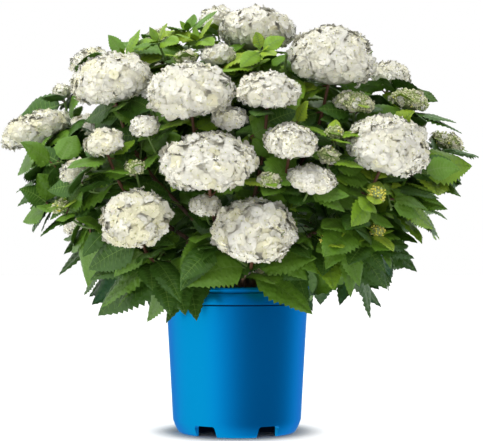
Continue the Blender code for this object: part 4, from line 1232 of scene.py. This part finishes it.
MIX_CROWDING = 0.8             # of its rings towards the wall: 1 spaces them evenly
MIX_HEEL = 0.03                # the height at which the wall is as wide as its foot
MIX_SINK = 0.0016              # of its top below the solid's
MIX_CRUMBS = (-0.0022, 0.0010)
MIX_WAVES = 6
MIX_WAVE_HEIGHT = 0.0008
MIX_WAVE_TURNS = 90            # radians per metre
CHIPS = 420                    # of bark
CHIP_SHAPE = (1.0, 0.45, 0.22)
CHIP_SIZE = (0.0016, 0.0048)   # half a chip's length
CHIP_ROUGHNESS = 0.12          # of its corners, against that
CHIP_MARGIN = 0.006            # that the chips keep from the pot's wall
CHIP_SINK = 0.0012
CHIP_LIFT = 0.0016
CHIP_TILT = 0.25
RIB_THICKNESS = 0.0022
RIB_LIFT = 0.0015              # of the ribs' lower edges from the ground


def arc(middle, radius, first, last, steps):
    """Points of a profile on an arc, its angles in degrees from level."""
    return [(middle[0] + radius * math.cos(math.radians(first + (last - first) * step / steps)),
             middle[1] + radius * math.sin(math.radians(first + (last - first) * step / steps)))
            for step in range(steps + 1)]


def pot_profile():
    """The pot's wall, from its floor over the lip down to the skirt and in, as radius and height."""
    floor_top = FLOOR_HEIGHT + WALL
    lip_bottom = POT_HEIGHT - LIP_HEIGHT
    inner = SHOULDER_RADIUS - WALL
    ledge = SHOULDER_RADIUS - LEDGE_RECESS
    above, below = BAND_ROUNDS
    profile = [(POT_MIDDLE, floor_top), (wall_radius(floor_top) - WALL, floor_top), (inner, BAND_BOTTOM),
               (inner, POT_HEIGHT - EDGE_ROUND), (inner + EDGE_ROUND, POT_HEIGHT)]
    profile += arc((LIP_RADIUS - LIP_ROUND, POT_HEIGHT - LIP_ROUND), LIP_ROUND, 90, 0, 6)
    profile += arc((LIP_RADIUS - EDGE_ROUND, lip_bottom + EDGE_ROUND), EDGE_ROUND, 0, -90, 4)
    profile += [(BAND_RADIUS - GROOVE, lip_bottom - drop) for drop in GROOVE_LEVELS]
    profile += arc((BAND_RADIUS - above, lip_bottom - GROOVE_WIDTH - above), above, 90, 0, 3)
    profile += arc((BAND_RADIUS - below, BAND_BOTTOM + 0.0010), below, 0, -90, 4)
    profile += [(ledge, BAND_BOTTOM + level) for level in LEDGE_LEVELS]
    profile += [(SHOULDER_RADIUS - LEDGE_FOOT[0], BAND_BOTTOM - LEDGE_FOOT[1])]
    profile += [(wall_radius(height), height) for height in WALL_LEVELS]
    skirt = FOOT_RADIUS - SKIRT_THICKNESS
    profile += [(FOOT_RADIUS - FOOT_CUT[0], FOOT_CUT[1]), (FOOT_RADIUS - FOOT_EDGE, 0.0), (skirt, 0.0),
                (skirt, FLOOR_HEIGHT), (POT_MIDDLE, FLOOR_HEIGHT)]
    return profile


def pot_wall():
    """The pot before its notches are cut."""
    profile = pot_profile()
    turns = np.linspace(0, math.tau, POT_SEGMENTS, endpoint=False)
    rings = np.array([[(radius * math.cos(turn), radius * math.sin(turn), height) for turn in turns]
                      for radius, height in profile])
    heap = Heap()
    heap.add(rings, grid_faces(len(profile), POT_SEGMENTS, closed=True)[:, ::-1])
    for ring in (0, len(profile) - 1):
        heap.add(rings[ring], np.arange(POT_SEGMENTS)[None, ::(-1 if ring else 1)])
    mesh = heap.mesh("pot_shell")
    with edited(mesh) as bm:
        bmesh.ops.remove_doubles(bm, verts=bm.verts, dist=1e-6)
        bmesh.ops.recalc_face_normals(bm, faces=bm.faces)
    return mesh


def notched(mesh):
    """A mesh like the pot's, with the drainage notches cut through its skirt."""
    made = linked("pot_shell", mesh)
    cutters = []
    for number in range(NOTCHES):
        cutter = linked("notch", notch_block())
        bearing = FIRST_NOTCH + math.tau * number / NOTCHES
        cutter.location = (FOOT_RADIUS * math.sin(bearing), -FOOT_RADIUS * math.cos(bearing), 0)
        cutter.rotation_euler.z = bearing
        cut = made.modifiers.new("cut", "BOOLEAN")
        cut.object = cutter
        cut.operation = "DIFFERENCE"
        cutters.append(cutter)
    view = bpy.context.evaluated_depsgraph_get()
    cut_mesh = bpy.data.meshes.new_from_object(made.evaluated_get(view))
    for each in cutters + [made]:
        bpy.data.objects.remove(each)
    return cut_mesh


def pot_shell():
    """The pot with a rounded lip, the groove under it, the band, rounded notches in its skirt, and ribs."""
    mesh = notched(pot_wall())
    with edited(mesh) as bm:
        add_ribs(bm)
    # Painted shade: the faces under the raised floor, inside the skirt, on the ribs and in the two grooves
    # take the dark finish, between limits just outside of each
    lip_bottom = POT_HEIGHT - LIP_HEIGHT
    outside = SHOULDER_RADIUS - WALL + 0.0005
    for face in mesh.polygons:
        height, reach = face.center.z, face.center.xy.length
        under = height < FLOOR_HEIGHT + 0.001 and reach < FOOT_RADIUS - 0.6 * SKIRT_THICKNESS
        groove = lip_bottom - 0.0030 < height < lip_bottom and outside < reach < BAND_RADIUS - 0.5 * GROOVE
        ledge = BAND_BOTTOM - 0.0007 < height < BAND_BOTTOM + 0.0005 and reach > outside
        face.material_index = int(under or groove or ledge)
    mesh.set_sharp_from_angle(angle=math.radians(SHARP_EDGE))
    return mesh


def add_ribs(bm):
    """The ribs that stiffen the pot's raised floor from below, between the notches."""
    length = FOOT_RADIUS - SKIRT_THICKNESS
    size = Matrix.Diagonal((RIB_THICKNESS, length, FLOOR_HEIGHT - RIB_LIFT, 1))
    for number in range(NOTCHES):
        turn = Matrix.Rotation(math.tau * number / NOTCHES, 4, "Z")
        place = Matrix.Translation((0, 0.5 * length + 0.5 * RIB_THICKNESS, 0.5 * (FLOOR_HEIGHT + RIB_LIFT)))
        bmesh.ops.create_cube(bm, size=1.0, matrix=turn @ place @ size)


def notch_block():
    """A block with the rounded shape of a drainage notch, open below."""
    half = 0.5 * NOTCH_WIDTH
    across, height = half - NOTCH_CORNER, NOTCH_HEIGHT - NOTCH_CORNER
    outline = [(-half, -NOTCH_DROP), (half, -NOTCH_DROP)]
    outline += arc((across, height), NOTCH_CORNER, 0, 90, 5)
    outline += arc((-across, height), NOTCH_CORNER, 90, 180, 5)
    mesh = bpy.data.meshes.new("notch")
    with edited(mesh) as bm:
        near, far = ([bm.verts.new((across, reach, height)) for across, height in outline]
                     for reach in (-NOTCH_REACH, NOTCH_REACH))
        bm.faces.new(near)
        bm.faces.new(far[::-1])
        for number in range(len(outline)):
            after = (number + 1) % len(outline)
            bm.faces.new((near[after], near[number], far[number], far[after]))
        bmesh.ops.recalc_face_normals(bm, faces=bm.faces)
    return mesh


def mix_surface(rng):
    """The potting mix: a crumbly top with chips of bark on it, closed down its sides."""
    edge = SHOULDER_RADIUS - WALL - GAP
    turns = np.linspace(0, math.tau, MIX_SEGMENTS, endpoint=False)
    radii = edge * (np.arange(MIX_RINGS + 1) / MIX_RINGS) ** MIX_CROWDING
    radii[0] = MIX_MIDDLE
    x, y = np.outer(radii, np.cos(turns)), np.outer(radii, np.sin(turns))
    rise = rng.uniform(*MIX_CRUMBS, x.shape)
    for _ in range(MIX_WAVES):
        way = rng.normal(0, MIX_WAVE_TURNS, 2)
        rise += MIX_WAVE_HEIGHT * np.sin(way[0] * x + way[1] * y + rng.uniform(0, math.tau))
    rise[0] = rise[0, 0]
    top = np.stack((x, y, MIX_TOP - MIX_SINK + rise), axis=-1)
    foot_radii = (wall_radius(MIX_HEEL) - WALL - GAP, MIX_MIDDLE)
    foot = np.stack((np.outer(foot_radii, np.cos(turns)), np.outer(foot_radii, np.sin(turns)),
                     np.full((2, MIX_SEGMENTS), FLOOR_HEIGHT + WALL + GAP)), axis=-1)
    heap = Heap()
    heap.add(np.concatenate((top, foot)), grid_faces(MIX_RINGS + 3, MIX_SEGMENTS, closed=True))
    reach = (edge - CHIP_MARGIN) * np.sqrt(rng.random(CHIPS))
    turn = rng.uniform(0, math.tau, CHIPS)
    centres = np.stack((reach * np.cos(turn), reach * np.sin(turn),
                        MIX_TOP - CHIP_SINK + rng.uniform(0, CHIP_LIFT, CHIPS)), axis=1)
    long, wide, high = CHIP_SHAPE
    chip = np.array([(x, y, z) for x in (-long, long) for y in (-wide, wide) for z in (-high, high)])
    chip += rng.uniform(-CHIP_ROUGHNESS, CHIP_ROUGHNESS, chip.shape)
    sides = np.array(((0, 1, 3, 2), (4, 6, 7, 5), (0, 4, 5, 1), (2, 3, 7, 6), (0, 2, 6, 4), (1, 5, 7, 3)))
    frames = facing(np.tile((0.0, 0.0, 1.0), (CHIPS, 1)), rng, CHIP_TILT)
    heap.add(*copies(chip, sides, frames, centres, rng.uniform(*CHIP_SIZE, CHIPS)), 1)
    return heap.mesh("mix", smooth=False)


# ---------------------------------------------------------------- canes and shoots
CANE_SIDES = 12
JOINT_STEPS = (0.020, 0.034)   # from joint to joint of a cane
JOINT_LENGTH = 0.0024
JOINT_SWELL = 0.16
BARK_RIDGE = 0.05              # of a cane's radius
FLARE_CURVE = 1.5              # of the root flare: 1 makes it a straight cone
SHOOT_SIDES = 8
SHOOT_RADII = ((0.0023, 0.0017), (0.0031, 0.0023))   # at the foot and tip of a side shoot and a main one
SHOOT_UNEVEN = (0.97, 1.03)


def add_cane(heap, points, rng):
    """A cane with its root flare, swollen joints and ridged bark."""
    path = smoothed(points)
    count = len(path)
    run = np.concatenate(([0], np.cumsum(np.linalg.norm(np.diff(path, axis=0), axis=1))))
    radii = np.linspace(CANE_FOOT_RADIUS, CANE_TIP_RADIUS, count)
    radii *= 1 + (ROOT_FLARE - 1) * np.clip(1 - run / FLARE_HEIGHT, 0, 1) ** FLARE_CURVE
    joint = rng.uniform(*JOINT_STEPS)
    radii *= 1 + JOINT_SWELL * np.exp(-((run % joint - 0.5 * joint) / JOINT_LENGTH) ** 2)
    ridges = (rng.uniform(-BARK_RIDGE, BARK_RIDGE, CANE_SIDES)[None, :]
              + rng.uniform(-BARK_RIDGE, BARK_RIDGE, (count, CANE_SIDES)))
    tube(heap, path, radii, CANE_SIDES, ridges=ridges)


def add_shoot(heap, shoot, main_path, green, rng):
    """A shoot, in the finish that it is given, its foot moved onto the main shoot's path if there is one."""
    path = smoothed(shoot.points)
    if main_path is not None:
        nearest = main_path[np.argmin(np.linalg.norm(main_path - path[0], axis=1))]
        path = np.vstack((nearest, path[1:]))
    radii = np.linspace(*SHOOT_RADII[shoot.main], len(path)) * rng.uniform(*SHOOT_UNEVEN, len(path))
    tube(heap, path, radii, SHOOT_SIDES, green)
    return path


# ---------------------------------------------------------------- light, floor and camera
def paper_floor():
    """A floor of white paper that glows a little, as if lit from below, with a painted shadow where the glow
    fades out towards the pot and is gone under it.
    """
    paper = new_finish("floor_paper", FLOOR_TINT, 0.8, specular=0.1)
    tree = paper.node_tree
    reach = node(tree, "VectorMath", {0: node(tree, "TexCoord").outputs["Object"]}, operation="LENGTH")
    # painted shadow: the glow rises from none at the pot's foot to full at FLOOR_SHADE
    glow = node(tree, "MapRange", {"Value": reach.outputs["Value"], "From Min": FOOT_RADIUS,
                                   "From Max": FLOOR_SHADE, "To Min": 0.0, "To Max": FLOOR_GLOW},
                interpolation_type="SMOOTHSTEP")
    set_shader(paper, {"Emission Color": WHITE, "Emission Strength": glow.outputs["Result"]})
    mesh = bpy.data.meshes.new("floor")
    with edited(mesh) as bm:
        bmesh.ops.create_circle(bm, cap_ends=True, segments=64, radius=FLOOR_RADIUS)
    mesh.materials.append(paper)
    floor = linked("floor", mesh)
    floor.location.z = -FLOOR_DROP
    floor.visible_glossy = False
    return floor


def white_room():
    """The world: white to the camera, a gradient to what mirrors it, and an even soft light to the rest."""
    world = bpy.data.worlds.new("studio")
    world.use_nodes = True
    tree = world.node_tree
    way = node(tree, "TexCoord").outputs["Generated"]
    towards = node(tree, "VectorMath", {0: way, 1: DIM_WAY}, operation="DOT_PRODUCT").outputs["Value"]
    light = node(tree, "MapRange", {"Value": towards, "From Min": 1.0, "From Max": BRIGHT_FROM,
                                    "To Min": ROOM_LIGHT[0], "To Max": ROOM_LIGHT[1]},
                 interpolation_type="SMOOTHSTEP")
    # Inputs 7 to 10 are the same four ends for vectors, and 4, 5 and output 1 are a Mix node's vectors
    hue = node(tree, "MapRange", {"Vector": towards, 7: (1.0,) * 3, 8: (BRIGHT_FROM,) * 3,
                                  9: ROOM_HUES[0], 10: ROOM_HUES[1]}, data_type="FLOAT_VECTOR")
    ray = node(tree, "LightPath").outputs
    mirrored = ray["Is Glossy Ray"]
    tint = node(tree, "Mix", {0: mirrored, 4: (1.0,) * 3, 5: hue.outputs["Vector"]}, data_type="VECTOR")
    strength = node(tree, "Mix", {"Factor": mirrored, "A": ROOM_FILL, "B": light.outputs["Result"]})
    room = node(tree, "Background", {"Color": tint.outputs[1], "Strength": strength.outputs["Result"]})
    white = tree.nodes["Background"]
    fill(tree, white, {"Color": WHITE, "Strength": 1.0})
    both = node(tree, "MixShader", {"Fac": ray["Is Camera Ray"], 1: room.outputs["Background"],
                                    2: white.outputs["Background"]})
    fill(tree, tree.nodes["World Output"], {"Surface": both.outputs["Shader"]})
    return world


def light_scene():
    """A pale floor, a white surround, soft studio lights and the photograph's camera."""
    scene = bpy.context.scene
    scene.view_settings.view_transform = "Standard"
    scene.view_settings.look = "None"
    scene.world = white_room()
    for name, place, size, watts in LAMPS:
        data = bpy.data.lights.new(name, "AREA")
        data.size = size
        data.energy = watts
        lamp = linked(name, data)
        lamp.location = place
        lamp.rotation_euler = (Vector(LAMP_AIM) - lamp.location).to_track_quat("-Z", "Y").to_euler()
        lamp.visible_glossy = False
    floor = paper_floor()

    camera = bpy.data.cameras.new("camera")
    camera.sensor_width = SENSOR_WIDTH
    camera.lens = SENSOR_WIDTH * FOCAL_PIXELS / PHOTO_WIDTH
    eye = linked("camera", camera)
    eye.location = CAMERA_PLACE
    eye.rotation_euler = (math.radians(90 + CAMERA_RISE), 0, 0)
    scene.camera = eye


def grown_plant():
    """The canes, the sprays' shoots, and each spray's leaves: the source's own and then the finer ones."""
    ends = {**front_sprays(), **back_sprays()}
    canes, sprays = {}, {}
    for name in ends:
        canes[name], sprays[name] = grow(ends[name])
    chosen = choose_leaves(canes, sprays)
    finer = finer_leaves(canes, sprays, chosen)
    leaves = {name: [leaf._replace(length=leaf.length * TRIMMED.get((name, number), 1.0))
                     for number, leaf in enumerate(chosen[name])] + finer[name] for name in sprays}
    return canes, sprays, leaves


def group_of(name):
    """The group of pieces that a spray goes into."""
    return next(group for group, members in GROUPS.items() if name in members or not members)


def leaf_mix(name, height):
    """The chance of each leaf tint, by the spray and by how high the leaf starts."""
    if height < LOW_LEAVES:
        return LOW_MIX
    if height > TOP_LEAVES and name in TOP_MIX:
        return TOP_MIX[name]
    return LEAF_MIX.get(name, LEAF_MIX[None])


def plant_heaps(canes, sprays, leaves, rng):
    """The points and faces of all the plant's pieces, by piece."""
    dice = random.Random(31)
    kinds = floret_kinds(rng)
    heaps = defaultdict(Heap)
    stalks, hearts, eyes, buds = (heaps[piece] for piece in SHARED_PIECES)
    for name, shoots in sprays.items():
        blades, veins, petals = (heaps[kind + group_of(name)] for kind in GROUPED_PIECES)
        add_cane(heaps["canes_bark"], canes[name], rng)
        main_path = None
        for shoot in shoots:
            path = add_shoot(stalks, shoot, main_path, int(not shoot.main), rng)
            if main_path is None:
                main_path = path
            if shoot.kind == OPEN:
                add_florets(shoot, petals, eyes, kinds, PETAL_MIX.get(name, PETAL_MIX[None]), rng)
                add_core(shoot, hearts, rng)
                add_rays(shoot, stalks, rng, 1)
            elif shoot.kind == BUD:
                add_buds(shoot, buds, petals, kinds, rng, name == YELLOW_BUDS)
                add_core(shoot, hearts, rng)
            if shoot.kind == BUD or (shoot.kind == LEAFY and name in ROSETTES):
                for leaf, shape in young_leaves(shoot, dice):
                    number = dice.choice(LIME_CHOICE if name == LIME_ROSETTE else YOUNG_CHOICE)
                    add_blade(blades, veins, leaf, number, dice, shape)
                    add_petiole(stalks, leaf, 1)
        for leaf in leaves[name]:
            tints = leaf_mix(name, leaf.root[2])
            number = dice.choices(range(len(tints)), tints)[0]
            add_blade(blades, veins, leaf, number, dice)
            add_petiole(stalks, leaf, int(dice.random() < GREEN_STALKS))
    return heaps


def show_plant(heaps, names):
    """The plant's pieces, each in place of the canes or sprays that it covers."""
    leaf = [new_finish(name, tint, 0.40, bump=0.35, scale=900, spread=0.10, quilt=0.7)
            for name, tint in LEAF_TINTS.items()]
    petal = [new_finish(name, tint, 0.62, bump=0.2, scale=1400, specular=0.2)
             for name, tint in PETAL_TINTS.items()]
    for made in petal:
        petal_skin(made)
    bud = [new_finish(name, tint, 0.5, bump=0.3, scale=1600) for name, tint in BUD_TINTS.items()]
    shoot = [new_finish(name, tint, 0.5, bump=0.4, scale=700) for name, tint in SHOOT_TINTS.items()]
    heart = [new_finish(name, tint, 0.8, bump=0.6, scale=500) for name, tint in CORE_TINTS.items()]
    vein = [new_finish("leaf_vein", VEIN_TINT, 0.45)]
    eye = [new_finish("floret_eye", EYE_TINT, 0.55)]
    bark = mottled(new_finish("cane_bark", BARK_TINT, 0.75, bump=0.8, scale=600), *BARK_MOTTLE)

    show("canes_bark", heaps["canes_bark"].mesh("canes_bark"), [bark],
         ["cane_" + name for name in names])
    for piece, finishes in zip(SHARED_PIECES, (shoot, heart, eye, bud)):
        show(piece, heaps[piece].mesh(piece), finishes, ["spray_" + name for name in names])
    for group in GROUPS:
        nodes = ["spray_" + name for name in names if group_of(name) == group]
        for kind, finishes in zip(GROUPED_PIECES, (leaf, vein, petal)):
            show(kind + group, heaps[kind + group].mesh(kind + group), finishes, nodes)


def show_pot(rng):
    """The pot, and the mix in it."""
    blue = new_finish("pot_satin", POT_TINT, 0.30, bump=0.05, scale=1200, spread=0.04, metallic=0.90,
                      specular=0.25)
    set_shader(blue, {"Specular Tint": (*POT_EDGE_TINT, 1.0)})
    # the dark finish is painted shade, under the floor and in the grooves
    underside = new_finish("pot_painted_shade", POT_SHADE_TINT, 0.8, bump=0.1, scale=900, specular=0.1)
    show("pot_shell", pot_shell(), [blue, underside], ["pot"])
    mix = mottled(new_finish("mix_peat", MIX_TINT, 0.92, bump=1.0, scale=350), *PEAT_MOTTLE)
    chip = mottled(new_finish("bark_chip", MIX_TINT, 0.85, bump=0.8, scale=500), *CHIP_MOTTLE)
    show("potting_mix_top", mix_surface(rng), [mix, chip], ["potting_mix"])


def dress():
    """All the pieces that are seen, in place of the CAD's solids."""
    canes, sprays, leaves = grown_plant()
    rng = np.random.default_rng(5)
    show_plant(plant_heaps(canes, sprays, leaves, rng), list(sprays))
    show_pot(rng)


light_scene()
dress()
